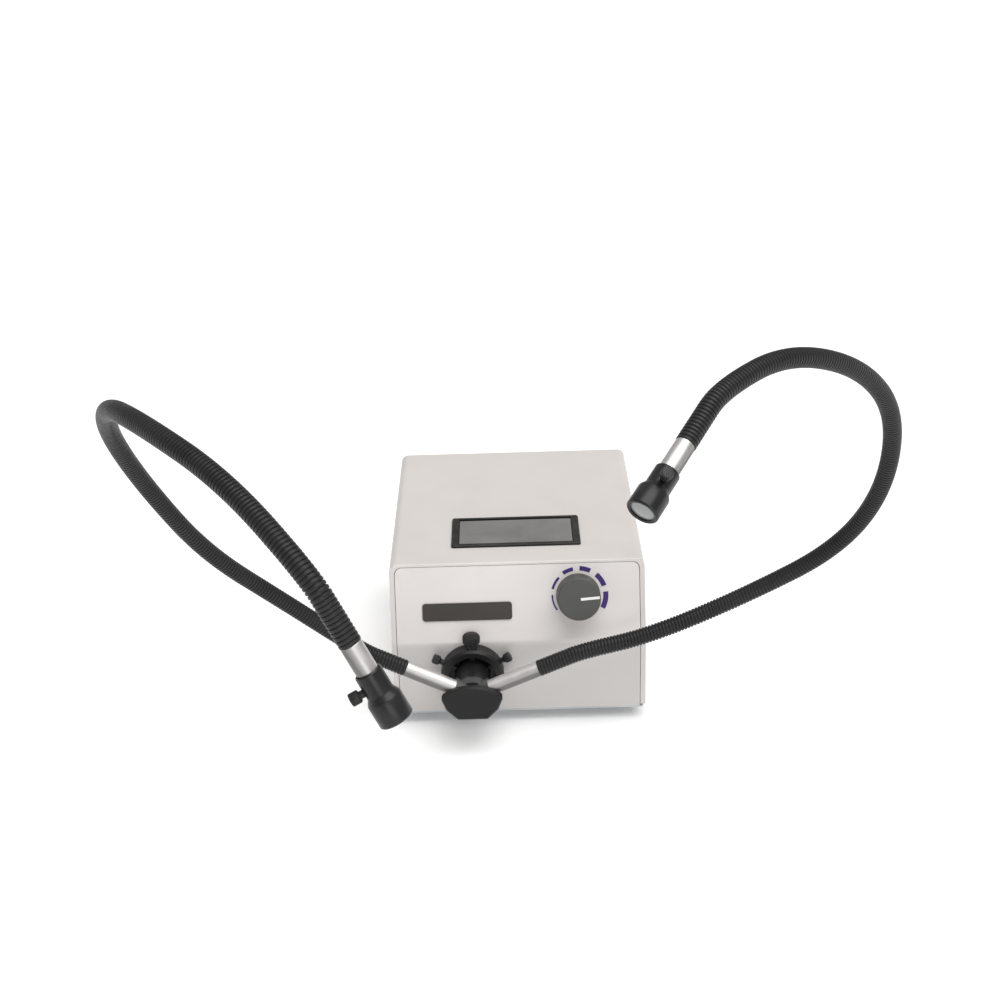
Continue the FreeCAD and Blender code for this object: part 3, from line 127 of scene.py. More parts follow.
def choose_points(piece, test):
    """In edit mode, select the points that pass a test of their place."""
    shape = bmesh.from_edit_mesh(piece.data)
    for point in shape.verts:
        if test(point.co):
            point.select_set(True)
    shape.select_flush(True)
    bmesh.update_edit_mesh(piece.data)


def fix_in_mesh(piece):
    """Put the piece's place into its mesh, so that the object sits at the origin."""
    pick_up(piece)
    bpy.ops.object.transform_apply(location=True, rotation=True, scale=True)


def stand(piece, origin, out, mark):
    """Turn a part drawn about +Z so that its Z points out and its X near the mark, and place it."""
    z_dir = out.normalized()
    x_dir = (mark - z_dir * mark.dot(z_dir)).normalized()
    y_dir = z_dir.cross(x_dir)
    turn = Matrix((x_dir, y_dir, z_dir)).transposed().to_4x4()
    piece.matrix_world = Matrix.Translation(origin) @ turn
    fix_in_mesh(piece)


def soften(piece, width, steps=2, angle=30):
    """Round the sharp edges of a piece and shade it smooth between them."""
    pick_up(piece)
    bevel = piece.modifiers.new("Broken edges", "BEVEL")
    bevel.width = width
    bevel.segments = steps
    bevel.limit_method = "ANGLE"
    bevel.angle_limit = math.radians(angle)
    bevel.use_clamp_overlap = True
    bpy.ops.object.modifier_apply(modifier=bevel.name)
    bpy.ops.object.shade_smooth_by_angle(angle=SMOOTH_BELOW)


def turned(name, outline, steps=48, closed=False):
    """A turned part about +Z, drawn out ring by ring along an outline of (radius, height)."""
    put_down()
    radius, height = outline[0]
    bpy.ops.mesh.primitive_circle_add(vertices=steps, radius=radius, location=(0, 0, height))
    piece = bpy.context.object
    piece.name = name
    fix_in_mesh(piece)
    edit(piece, "EDGE")
    bpy.ops.mesh.select_all(action="SELECT")
    if not closed:
        bpy.ops.mesh.edge_face_add()
        bpy.ops.mesh.select_all(action="DESELECT")
        bpy.ops.mesh.select_all(action="SELECT")
    for next_radius, next_height in outline[1:]:
        rise = {"value": (0, 0, next_height - height)}
        if closed:
            bpy.ops.mesh.extrude_edges_move(TRANSFORM_OT_translate=rise)
        else:
            bpy.ops.mesh.extrude_region_move(TRANSFORM_OT_translate=rise)
        share = next_radius / radius
        bpy.ops.transform.resize(value=(share, share, 1), center_override=(0, 0, next_height))
        radius, height = next_radius, next_height
    if closed:
        bpy.ops.mesh.select_all(action="DESELECT")
        bpy.ops.mesh.select_non_manifold()
        bpy.ops.mesh.bridge_edge_loops()
    bpy.ops.mesh.select_all(action="SELECT")
    bpy.ops.mesh.normals_make_consistent(inside=False)
    put_down()
    return piece


def flute(piece, low, high, inner, teeth, share):
    """Press the grooves of a knurl into a turned head between two heights, beyond a radius."""
    edit(piece)
    width = 2 * math.pi / teeth

    def in_groove(place):
        turn = math.atan2(place.y, place.x) % width
        return low <= place.z <= high and place.xy.length > inner and turn > width * GROOVE_SHARE

    choose_points(piece, in_groove)
    bpy.ops.transform.resize(value=(share, share, 1), center_override=(0, 0, 0))
    put_down()


def dress(piece, body, slot, finish, *nodes):
    """Give a finished piece its material, its body and the frame node that it stands for."""
    piece.data.materials.clear()
    piece.data.materials.append(finish)
    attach(piece, body)
    if nodes:
        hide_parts(*nodes)


def paint_node(node, finish):
    """Give a node of the frame its material."""
    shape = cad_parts[node].data
    if not shape.materials:
        shape.materials.append(finish)
    for k in range(len(shape.materials)):
        shape.materials[k] = finish


# Shared effects

def colour(red, green, blue):
    """A colour given as it looks on a screen, 0 to 255, as light by the screens' common curve."""
    light = [((c / 255 + 0.055) / 1.055) ** 2.4 if c > 10 else c / 255 / 12.92 for c in (red, green, blue)]
    return (*light, 1)


def add(tree, kind, x, y, inputs=(), **settings):
    """A node at a place in its tree, with its settings and the values of its sockets."""
    made = tree.nodes.new(kind)
    made.location = (x, y)
    for key, value in settings.items():
        setattr(made, key, value)
    for key, value in dict(inputs).items():
        made.inputs[key].default_value = value
    return made


def new_effect(name, inputs, outputs):
    """A node group with named number sockets, and its two end nodes."""
    group = bpy.data.node_groups.new(name, "ShaderNodeTree")
    for label, value in inputs:
        entry = group.interface.new_socket(name=label, in_out="INPUT", socket_type="NodeSocketFloat")
        entry.default_value = value
    for label in outputs:
        group.interface.new_socket(name=label, in_out="OUTPUT", socket_type="NodeSocketFloat")
    return group, add(group, "NodeGroupInput", -900, 0), add(group, "NodeGroupOutput", 700, 0)


COARSE_SCALE = 0.27


def make_fine_grain():
    """Two sizes of small bumps, as in textured paint or moulded plastic."""
    group, entry, leave = new_effect("Fine Grain", [("Scale", 900.0), ("Coarse Share", 0.35)], ["Height"])
    place = add(group, "ShaderNodeTexCoord", -900, 250)
    fine = add(group, "ShaderNodeTexNoise", -500, 250, {"Detail": 3.0, "Roughness": 0.6})
    larger = add(group, "ShaderNodeMath", -700, -100, {1: COARSE_SCALE}, operation="MULTIPLY")
    coarse = add(group, "ShaderNodeTexNoise", -500, -100, {"Detail": 2.0, "Roughness": 0.5})
    blend = add(group, "ShaderNodeMix", 100, 0)
    links = group.links
    links.new(place.outputs["Object"], fine.inputs["Vector"])
    links.new(place.outputs["Object"], coarse.inputs["Vector"])
    links.new(entry.outputs["Scale"], fine.inputs["Scale"])
    links.new(entry.outputs["Scale"], larger.inputs[0])
    links.new(larger.outputs[0], coarse.inputs["Scale"])
    links.new(entry.outputs["Coarse Share"], blend.inputs["Factor"])
    links.new(fine.outputs["Fac"], blend.inputs["A"])
    links.new(coarse.outputs["Fac"], blend.inputs["B"])
    links.new(blend.outputs["Result"], leave.inputs["Height"])
    return group


def make_handling():
    """Broad soft patches, where a surface has been touched and wiped."""
    group, entry, leave = new_effect("Handling", [("Scale", 18.0), ("Low", 0.0), ("High", 1.0)], ["Value"])
    place = add(group, "ShaderNodeTexCoord", -900, 250)
    patches = add(group, "ShaderNodeTexNoise", -500, 100,
                  {"Detail": 4.0, "Roughness": 0.55, "Distortion": 0.4})
    spread = add(group, "ShaderNodeMapRange", 0, 0, {"From Min": 0.3, "From Max": 0.7})
    links = group.links
    links.new(place.outputs["Object"], patches.inputs["Vector"])
    links.new(entry.outputs["Scale"], patches.inputs["Scale"])
    links.new(patches.outputs["Fac"], spread.inputs["Value"])
    links.new(entry.outputs["Low"], spread.inputs["To Min"])
    links.new(entry.outputs["High"], spread.inputs["To Max"])
    links.new(spread.outputs["Result"], leave.inputs["Value"])
    return group


def make_edge_wear():
    """A broken mask along outer edges, where a coat is rubbed thin."""
    group, entry, leave = new_effect("Edge Wear", [("Width", 0.0006), ("Amount", 0.5)], ["Mask"])
    rounded = add(group, "ShaderNodeBevel", -600, 100, samples=4)
    true_side = add(group, "ShaderNodeNewGeometry", -600, -150)
    likeness = add(group, "ShaderNodeVectorMath", -350, 50, operation="DOT_PRODUCT")
    edge = add(group, "ShaderNodeMapRange", -100, 50, {"From Min": 0.99, "From Max": 0.86})
    place = add(group, "ShaderNodeTexCoord", -900, -400)
    chips = add(group, "ShaderNodeTexNoise", -600, -400, {"Scale": 260.0, "Detail": 5.0, "Roughness": 0.65})
    broken = add(group, "ShaderNodeMapRange", -350, -400, {"From Min": 0.42, "From Max": 0.62})
    both = add(group, "ShaderNodeMath", 150, 0, operation="MULTIPLY")
    amount = add(group, "ShaderNodeMath", 400, 0, operation="MULTIPLY")
    links = group.links
    links.new(entry.outputs["Width"], rounded.inputs["Radius"])
    links.new(rounded.outputs["Normal"], likeness.inputs[0])
    links.new(true_side.outputs["Normal"], likeness.inputs[1])
    links.new(likeness.outputs["Value"], edge.inputs["Value"])
    links.new(place.outputs["Object"], chips.inputs["Vector"])
    links.new(chips.outputs["Fac"], broken.inputs["Value"])
    links.new(edge.outputs["Result"], both.inputs[0])
    links.new(broken.outputs["Result"], both.inputs[1])
    links.new(both.outputs[0], amount.inputs[0])
    links.new(entry.outputs["Amount"], amount.inputs[1])
    links.new(amount.outputs[0], leave.inputs["Mask"])
    return group


def make_settled_dust():
    """A thin patchy veil on faces that look up."""
    group, entry, leave = new_effect("Settled Dust", [("Amount", 0.1), ("Scale", 60.0)], ["Mask"])
    side = add(group, "ShaderNodeNewGeometry", -800, -150)
    parts = add(group, "ShaderNodeSeparateXYZ", -600, -150)
    upward = add(group, "ShaderNodeMapRange", -350, -150, {"From Min": 0.35, "From Max": 1.0})
    place = add(group, "ShaderNodeTexCoord", -900, 250)
    patches = add(group, "ShaderNodeTexNoise", -600, 250, {"Detail": 6.0, "Roughness": 0.6})
    spread = add(group, "ShaderNodeMapRange", -350, 250, {"From Min": 0.35, "From Max": 0.75})
    both = add(group, "ShaderNodeMath", 0, 0, operation="MULTIPLY")
    amount = add(group, "ShaderNodeMath", 250, 0, operation="MULTIPLY")
    links = group.links
    links.new(side.outputs["Normal"], parts.inputs[0])
    links.new(parts.outputs["Z"], upward.inputs["Value"])
    links.new(place.outputs["Object"], patches.inputs["Vector"])
    links.new(entry.outputs["Scale"], patches.inputs["Scale"])
    links.new(patches.outputs["Fac"], spread.inputs["Value"])
    links.new(upward.outputs["Result"], both.inputs[0])
    links.new(spread.outputs["Result"], both.inputs[1])
    links.new(both.outputs[0], amount.inputs[0])
    links.new(entry.outputs["Amount"], amount.inputs[1])
    links.new(amount.outputs[0], leave.inputs["Mask"])
    return group


def make_drawn_lines():
    """Fine lines along one direction, as a brush or a lathe tool leaves them."""
    group, entry, leave = new_effect(
        "Drawn Lines", [("Along X", 40.0), ("Along Y", 40.0), ("Along Z", 2000.0)], ["Height"])
    place = add(group, "ShaderNodeTexCoord", -900, 250)
    stretch = add(group, "ShaderNodeCombineXYZ", -700, 0)
    scaled = add(group, "ShaderNodeVectorMath", -450, 100, operation="MULTIPLY")
    lines = add(group, "ShaderNodeTexNoise", -150, 100, {"Scale": 1.0, "Detail": 4.0, "Roughness": 0.65})
    links = group.links
    for axis in "XYZ":
        links.new(entry.outputs["Along " + axis], stretch.inputs[axis])
    links.new(place.outputs["Object"], scaled.inputs[0])
    links.new(stretch.outputs["Vector"], scaled.inputs[1])
    links.new(scaled.outputs["Vector"], lines.inputs["Vector"])
    links.new(lines.outputs["Fac"], leave.inputs["Height"])
    return group


FINE_GRAIN = make_fine_grain()
HANDLING = make_handling()
EDGE_WEAR = make_edge_wear()
SETTLED_DUST = make_settled_dust()
DRAWN_LINES = make_drawn_lines()


# Materials

DUST_TONE = (205, 202, 196)
# Below the knee height the front panel takes a darker painted shade, blended over KNEE_BLEND.
KNEE_HEIGHT = 51.5 * MM
KNEE_BLEND = 2 * MM
# Where the painted shade on faces that look down begins and where it is full, by the normal's height.
UNDERSIDE_SHADE_STARTS = 0.66
UNDERSIDE_SHADE_FULL = 0.0
WIPED_ROUGHER = 0.05
SHADED_SHARE = 0.97


def new_finish(name, roughness=0.5, metallic=0.0, **sockets):
    """A material with its Principled shader, and the shader's own constants."""
    finish = bpy.data.materials.new(name)
    finish.use_nodes = True
    tree = finish.node_tree
    shader = tree.nodes["Principled BSDF"]
    shader.location = (600, 0)
    tree.nodes["Material Output"].location = (950, 0)
    shader.inputs["Roughness"].default_value = roughness
    shader.inputs["Metallic"].default_value = metallic
    for label, value in sockets.items():
        shader.inputs[label.replace("_", " ")].default_value = value
    return finish, tree, shader


def effect(tree, group, x, y, **values):
    """One shared effect placed in a material with its own values."""
    made = add(tree, "ShaderNodeGroup", x, y, node_tree=group)
    for label, value in values.items():
        made.inputs[label.replace("_", " ")].default_value = value
    return made


def mixed(tree, x, y, mask, under, over):
    """A colour mix: under where the mask is 0 and over where it is 1. Each may be a colour or a socket."""
    mix = add(tree, "ShaderNodeMix", x, y, data_type="RGBA")
    tree.links.new(mask, mix.inputs["Factor"])
    for source, socket in ((under, mix.inputs[6]), (over, mix.inputs[7])):
        if isinstance(source, bpy.types.NodeSocket):
            tree.links.new(source, socket)
        else:
            socket.default_value = source
    return mix.outputs[2]


def bumped(tree, shader, height, strength, distance):
    """Small relief from a height, on the shader's normal."""
    bump = add(tree, "ShaderNodeBump", 350, -350, {"Strength": strength, "Distance": distance})
    tree.links.new(height, bump.inputs["Height"])
    tree.links.new(bump.outputs["Normal"], shader.inputs["Normal"])


def coated(name, main, patch, worn, roughness, rougher, grain, relief, dust, wear=0.35, wear_width=0.5 * MM,
           metallic=0.0, lower=None, **sockets):
    """A painted, moulded or anodised skin: two close tones, fine grain, rubbed edges and a little dust.

    With lower given, as a height and a tone, the skin takes that tone below the height. It follows the
    shading in the photograph, not a second paint.
    """
    finish, tree, shader = new_finish(name, roughness, metallic, **sockets)
    links = tree.links
    tone = effect(tree, HANDLING, -700, 200, Scale=22.0)
    sheen = effect(tree, HANDLING, -700, -100, Scale=55.0, Low=roughness, High=rougher)
    fine = effect(tree, FINE_GRAIN, -700, -350, Scale=grain)
    rubbed = effect(tree, EDGE_WEAR, -400, 450, Width=wear_width, Amount=wear)
    veil = effect(tree, SETTLED_DUST, -400, 650, Amount=dust)
    base = mixed(tree, -400, 200, tone.outputs["Value"], main, patch)
    # Below the given height the skin takes a darker tone: painted shade on the lower face.
    if lower:
        height, shade = lower
        place = add(tree, "ShaderNodeTexCoord", -1100, 900)
        parts = add(tree, "ShaderNodeSeparateXYZ", -900, 900)
        below = add(tree, "ShaderNodeMapRange", -700, 900,
                    {"From Min": height + KNEE_BLEND, "From Max": height - KNEE_BLEND})
        links.new(place.outputs["Object"], parts.inputs[0])
        links.new(parts.outputs["Z"], below.inputs["Value"])
        base = mixed(tree, -250, 450, below.outputs["Result"], base, shade)
    base = mixed(tree, -100, 250, rubbed.outputs["Mask"], base, worn)
    base = mixed(tree, 200, 250, veil.outputs["Mask"], base, colour(*DUST_TONE))
    links.new(base, shader.inputs["Base Color"])
    links.new(sheen.outputs["Value"], shader.inputs["Roughness"])
    bumped(tree, shader, fine.outputs["Height"], relief, distance=0.4 * MM)
    return finish


def metal(name, main, patch, roughness, rougher, lines, relief=0.08, under=None):
    """Bare or plated metal with drawn lines, each direction's scale given, and a soft variation.

    With under given, the faces that look down take that tone. It follows the shading in the photograph.
    """
    finish, tree, shader = new_finish(name, roughness, metallic=1.0)
    tone = effect(tree, HANDLING, -700, 200, Scale=70.0)
    sheen = effect(tree, HANDLING, -700, -50, Scale=120.0, Low=roughness, High=rougher)
    drawn = effect(tree, DRAWN_LINES, -700, -300, Along_X=lines[0], Along_Y=lines[1], Along_Z=lines[2])
    base = mixed(tree, -200, 200, tone.outputs["Value"], main, patch)
    # Faces that look down take the under tone: painted shade on the underside.
    if under:
        place = add(tree, "ShaderNodeTexCoord", -1100, 600)
        parts = add(tree, "ShaderNodeSeparateXYZ", -900, 600)
        below = add(tree, "ShaderNodeMapRange", -700, 600,
                    {"From Min": UNDERSIDE_SHADE_STARTS, "From Max": UNDERSIDE_SHADE_FULL})
        tree.links.new(place.outputs["Normal"], parts.inputs[0])
        tree.links.new(parts.outputs["Z"], below.inputs["Value"])
        base = mixed(tree, 0, 350, below.outputs["Result"], base, under)
    tree.links.new(base, shader.inputs["Base Color"])
    tree.links.new(sheen.outputs["Value"], shader.inputs["Roughness"])
    bumped(tree, shader, drawn.outputs["Height"], relief, distance=0.2 * MM)
    return finish


def clear_glass(name, tone, roughness, clear=1.0):
    """Polished glass with faint wiping marks in its gloss; less than fully clear, it has a milky body."""
    finish, tree, shader = new_finish(name, roughness, metallic=0.0, Transmission_Weight=clear, IOR=1.5)
    marks = effect(tree, HANDLING, -500, 0, Scale=160.0, Low=roughness, High=roughness + WIPED_ROUGHER)
    shade = effect(tree, HANDLING, -500, 250, Scale=30.0)
    base = mixed(tree, -100, 250, shade.outputs["Value"], tone, [c * SHADED_SHARE for c in tone[:3]] + [1])
    tree.links.new(base, shader.inputs["Base Color"])
    tree.links.new(marks.outputs["Value"], shader.inputs["Roughness"])
    return finish


# The housing paint is set darker than the panel's, as painted shade on the cover's top and on its lip beside
# the panel.
HOUSING_PAINT = coated(
    "Housing paint", colour(205, 200, 196), colour(200, 195, 191), colour(166, 162, 158),
    roughness=0.42, rougher=0.5, grain=1500.0, relief=0.16, dust=0.08, wear=0.15)
# The panel's lower face below the knee is a painted shade, darker than the paint above it.
PANEL_PAINT = coated(
    "Panel paint", colour(213, 208, 205), colour(209, 204, 201), colour(176, 172, 169),
    roughness=0.38, rougher=0.46, grain=1700.0, relief=0.12, dust=0.03,
    wear=0.12, lower=(KNEE_HEIGHT, colour(194, 191, 188)))
BEZEL_BLACK = coated(
    "Bezel plastic", colour(30, 29, 28), colour(36, 35, 34), colour(76, 75, 73),
    roughness=0.4, rougher=0.52, grain=2600.0, relief=0.2, dust=0.05, Specular_IOR_Level=0.2)
HANDLE_GREY = coated(
    "Handle plastic", colour(104, 103, 101), colour(122, 120, 118), colour(150, 148, 145),
    roughness=0.55, rougher=0.66, grain=1100.0, relief=0.35, dust=0.06, Specular_IOR_Level=0.25)
KNOB_GREY = coated(
    "Knob moulding", colour(72, 72, 69), colour(78, 78, 75), colour(120, 119, 115),
    roughness=0.46, rougher=0.56, grain=2400.0, relief=0.15, dust=0.03, Specular_IOR_Level=0.3)
POINTER_WHITE = coated(
    "Pointer filling", colour(233, 232, 229), colour(225, 224, 221), colour(240, 240, 238),
    roughness=0.4, rougher=0.5, grain=1500.0, relief=0.06, dust=0.02, wear=0.0)
PLATE_DARK = coated(
    "Name plate film", colour(56, 51, 48), colour(62, 57, 54), colour(120, 117, 117),
    roughness=0.34, rougher=0.44, grain=2200.0, relief=0.06, dust=0.02, Specular_IOR_Level=0.25)
COLLAR_BLACK = coated(
    "Collar anodising", colour(22, 22, 23), colour(27, 27, 28), colour(104, 104, 105),
    roughness=0.34, rougher=0.46, grain=2600.0, relief=0.1, dust=0.03,
    wear=0.4, Specular_IOR_Level=0.3)
SCREW_BLACK = coated(
    "Screw oxide", colour(19, 19, 20), colour(25, 25, 26), colour(104, 104, 104),
    roughness=0.32, rougher=0.45, grain=3000.0, relief=0.1, dust=0.03,
    wear=0.45, wear_width=0.3 * MM, Specular_IOR_Level=0.35)
GUIDE_BLACK = coated(
    "Guide anodising", colour(18, 18, 19), colour(23, 23, 24), colour(96, 96, 98),
    roughness=0.3, rougher=0.4, grain=2600.0, relief=0.08, dust=0.03,
    wear=0.3, Specular_IOR_Level=0.35)
BLOCK_BLACK = coated(
    "Junction block satin", colour(58, 58, 58), colour(66, 66, 66), colour(140, 140, 141),
    roughness=0.4, rougher=0.5, grain=2000.0, relief=0.15, dust=0.06, wear=0.4)
CAP_BLACK = coated(
    "Junction cap moulding", colour(18, 18, 18), colour(23, 23, 23), colour(80, 80, 80),
    roughness=0.42, rougher=0.52, grain=2000.0, relief=0.15, dust=0.04,
    wear=0.3, Specular_IOR_Level=0.25)
HOSE_BLACK = coated(
    "Gooseneck sheath", colour(36, 36, 36), colour(46, 46, 46), colour(84, 84, 85),
    roughness=0.25, rougher=0.42, grain=2200.0, relief=0.2, dust=0.0,
    wear=0.0, Specular_IOR_Level=0.18)
BARREL_BLACK = coated(
    "Barrel anodising", colour(20, 20, 21), colour(26, 26, 27), colour(130, 130, 132),
    roughness=0.28, rougher=0.38, grain=2800.0, relief=0.08, dust=0.03,
    wear=0.4, Specular_IOR_Level=0.35)
FOOT_RUBBER = coated(
    "Foot rubber", colour(26, 26, 26), colour(33, 33, 33), colour(60, 60, 59),
    roughness=0.7, rougher=0.82, grain=1800.0, relief=0.3, dust=0.06, Specular_IOR_Level=0.3)
SWITCH_BLACK = coated(
    "Fitting plastic", colour(24, 24, 25), colour(29, 29, 30), colour(66, 66, 66),
    roughness=0.26, rougher=0.38, grain=2400.0, relief=0.1, dust=0.04, Specular_IOR_Level=0.35)
FAN_BLACK = coated(
    "Fan moulding", colour(28, 28, 29), colour(34, 34, 35), colour(66, 66, 66),
    roughness=0.42, rougher=0.55, grain=1900.0, relief=0.16, dust=0.06, Specular_IOR_Level=0.3)
CERAMIC = coated(
    "Socket ceramic", colour(228, 222, 206), colour(218, 212, 196), colour(236, 232, 222),
    roughness=0.5, rougher=0.62, grain=900.0, relief=0.25, dust=0.05, wear=0.2)
MARK_VIOLET = coated(
    "Dial ink", colour(60, 42, 104), colour(68, 50, 112), colour(104, 92, 140),
    roughness=0.5, rougher=0.6, grain=2000.0, relief=0.05, dust=0.0,
    wear=0.05, Specular_IOR_Level=0.2)

# The aluminium parts are painted darker on their undersides: painted shade.
ALUMINIUM = metal(
    "Turned aluminium", colour(232, 229, 227), colour(220, 217, 215), roughness=0.4, rougher=0.5,
    lines=(500.0, 500.0, 500.0), under=colour(114, 113, 112))
PLATED_STEEL = metal(
    "Plated steel", colour(196, 194, 190), colour(184, 182, 178), roughness=0.22, rougher=0.32,
    lines=(300.0, 900.0, 300.0))
ZINC_STEEL = metal(
    "Zinc plated sheet", colour(188, 190, 192), colour(172, 175, 178), roughness=0.36, rougher=0.48,
    lines=(30.0, 1400.0, 1400.0))
POT_METAL = metal(
    "Potentiometer can", colour(186, 184, 176), colour(172, 170, 162), roughness=0.3, rougher=0.42,
    lines=(900.0, 60.0, 900.0))
BRASS = metal(
    "Turned brass", colour(206, 172, 98), colour(190, 154, 84), roughness=0.22, rougher=0.34,
    lines=(100.0, 100.0, 1800.0))
SINK_ALUMINIUM = metal(
    "Extruded aluminium", colour(188, 188, 188), colour(176, 176, 176), roughness=0.34, rougher=0.44,
    lines=(60.0, 1600.0, 1600.0))
GUARD_CHROME = metal(
    "Guard chrome", colour(214, 214, 216), colour(200, 200, 202), roughness=0.1, rougher=0.18,
    lines=(200.0, 200.0, 200.0), relief=0.03)

LENS_GLASS = clear_glass("Lens glass", colour(176, 178, 178), roughness=0.08, clear=0.45)
FILTER_GLASS = clear_glass("Heat filter glass", colour(206, 232, 222), roughness=0.02)


def make_fibre_glass():
    """Ends of thousands of packed fibres: a fine cell pattern in greenish glass."""
    finish, tree, shader = new_finish("Packed fibres", roughness=0.25, metallic=0.0, Transmission_Weight=0.4)
    place = add(tree, "ShaderNodeTexCoord", -800, 100)
    cells = add(tree, "ShaderNodeTexVoronoi", -550, 100, {"Scale": 4200.0})
    spread = add(tree, "ShaderNodeMapRange", -300, 100, {"From Min": 0.0, "From Max": 0.7})
    tree.links.new(place.outputs["Object"], cells.inputs["Vector"])
    tree.links.new(cells.outputs["Distance"], spread.inputs["Value"])
    base = mixed(tree, 0, 150, spread.outputs["Result"], colour(226, 230, 216), colour(150, 156, 142))
    tree.links.new(base, shader.inputs["Base Color"])
    bumped(tree, shader, cells.outputs["Distance"], strength=0.2, distance=0.2 * MM)
    return finish


def make_lamp_mirror():
    """A faceted reflector with a faint colour in its coating."""
    finish, tree, shader = new_finish("Lamp mirror", roughness=0.08, metallic=1.0)
    place = add(tree, "ShaderNodeTexCoord", -800, 100)
    facets = add(tree, "ShaderNodeTexVoronoi", -550, 100, {"Scale": 330.0})
    shift = effect(tree, HANDLING, -550, 350, Scale=60.0)
    tree.links.new(place.outputs["Object"], facets.inputs["Vector"])
    base = mixed(tree, -100, 250, shift.outputs["Value"], colour(226, 224, 230), colour(206, 210, 228))
    tree.links.new(base, shader.inputs["Base Color"])
    bumped(tree, shader, facets.outputs["Distance"], strength=0.5, distance=1.2 * MM)
    return finish


def make_core_iron():
    """Varnished laminations: thin sheets stacked from front to back."""
    finish, tree, shader = new_finish("Varnished laminations", roughness=0.42, metallic=0.6)
    place = add(tree, "ShaderNodeTexCoord", -900, 100)
    sheets = add(tree, "ShaderNodeTexWave", -600, 100, {"Scale": 320.0, "Distortion": 0.6, "Detail": 2.0},
                 bands_direction="Y")
    patch = effect(tree, HANDLING, -600, -200, Scale=40.0, Low=0.34, High=0.55)
    tree.links.new(place.outputs["Object"], sheets.inputs["Vector"])
    base = mixed(tree, -100, 150, sheets.outputs["Fac"], colour(74, 72, 74), colour(104, 101, 100))
    tree.links.new(base, shader.inputs["Base Color"])
    tree.links.new(patch.outputs["Value"], shader.inputs["Roughness"])
    bumped(tree, shader, sheets.outputs["Fac"], strength=0.4, distance=0.4 * MM)
    return finish


def make_winding_copper():
    """Enamelled wire laid side by side round the core's leg."""
    finish, tree, shader = new_finish("Enamelled wire", roughness=0.28, metallic=0.85)
    place = add(tree, "ShaderNodeTexCoord", -900, 100)
    wires = add(tree, "ShaderNodeTexWave", -600, 100, {"Scale": 260.0, "Distortion": 0.3, "Detail": 1.0},
                bands_direction="Z")
    patch = effect(tree, HANDLING, -600, -200, Scale=50.0)
    tree.links.new(place.outputs["Object"], wires.inputs["Vector"])
    base = mixed(tree, -300, 150, wires.outputs["Fac"], colour(120, 62, 34), colour(196, 116, 64))
    base = mixed(tree, 0, 150, patch.outputs["Value"], base, colour(164, 92, 50))
    tree.links.new(base, shader.inputs["Base Color"])
    bumped(tree, shader, wires.outputs["Fac"], strength=0.6, distance=0.6 * MM)
    return finish


def make_board_green():
    """Solder mask over copper lines and pads."""
    finish, tree, shader = new_finish("Circuit board", roughness=0.32, metallic=0.0)
    place = add(tree, "ShaderNodeTexCoord", -1100, 100)
    lines = add(tree, "ShaderNodeTexBrick", -800, 150,
                {"Scale": 160.0, "Mortar Size": 0.06, "Bias": -0.2, "Brick Width": 1.7, "Row Height": 0.55})
    pads = add(tree, "ShaderNodeTexVoronoi", -800, -200, {"Scale": 210.0, "Randomness": 0.55})
    pad_mask = add(tree, "ShaderNodeMapRange", -500, -200, {"From Min": 0.20, "From Max": 0.16})
    tree.links.new(place.outputs["Object"], lines.inputs["Vector"])
    tree.links.new(place.outputs["Object"], pads.inputs["Vector"])
    tree.links.new(pads.outputs["Distance"], pad_mask.inputs["Value"])
    base = mixed(tree, -300, 150, lines.outputs["Fac"], colour(28, 96, 52), colour(46, 130, 70))
    base = mixed(tree, 0, 150, pad_mask.outputs["Result"], base, colour(196, 190, 160))
    tree.links.new(base, shader.inputs["Base Color"])
    bumped(tree, shader, lines.outputs["Fac"], strength=0.2, distance=0.2 * MM)
    return finish


FIBRE_GLASS = make_fibre_glass()
LAMP_MIRROR = make_lamp_mirror()
CORE_IRON = make_core_iron()
WINDING_COPPER = make_winding_copper()
BOARD_GREEN = make_board_green()

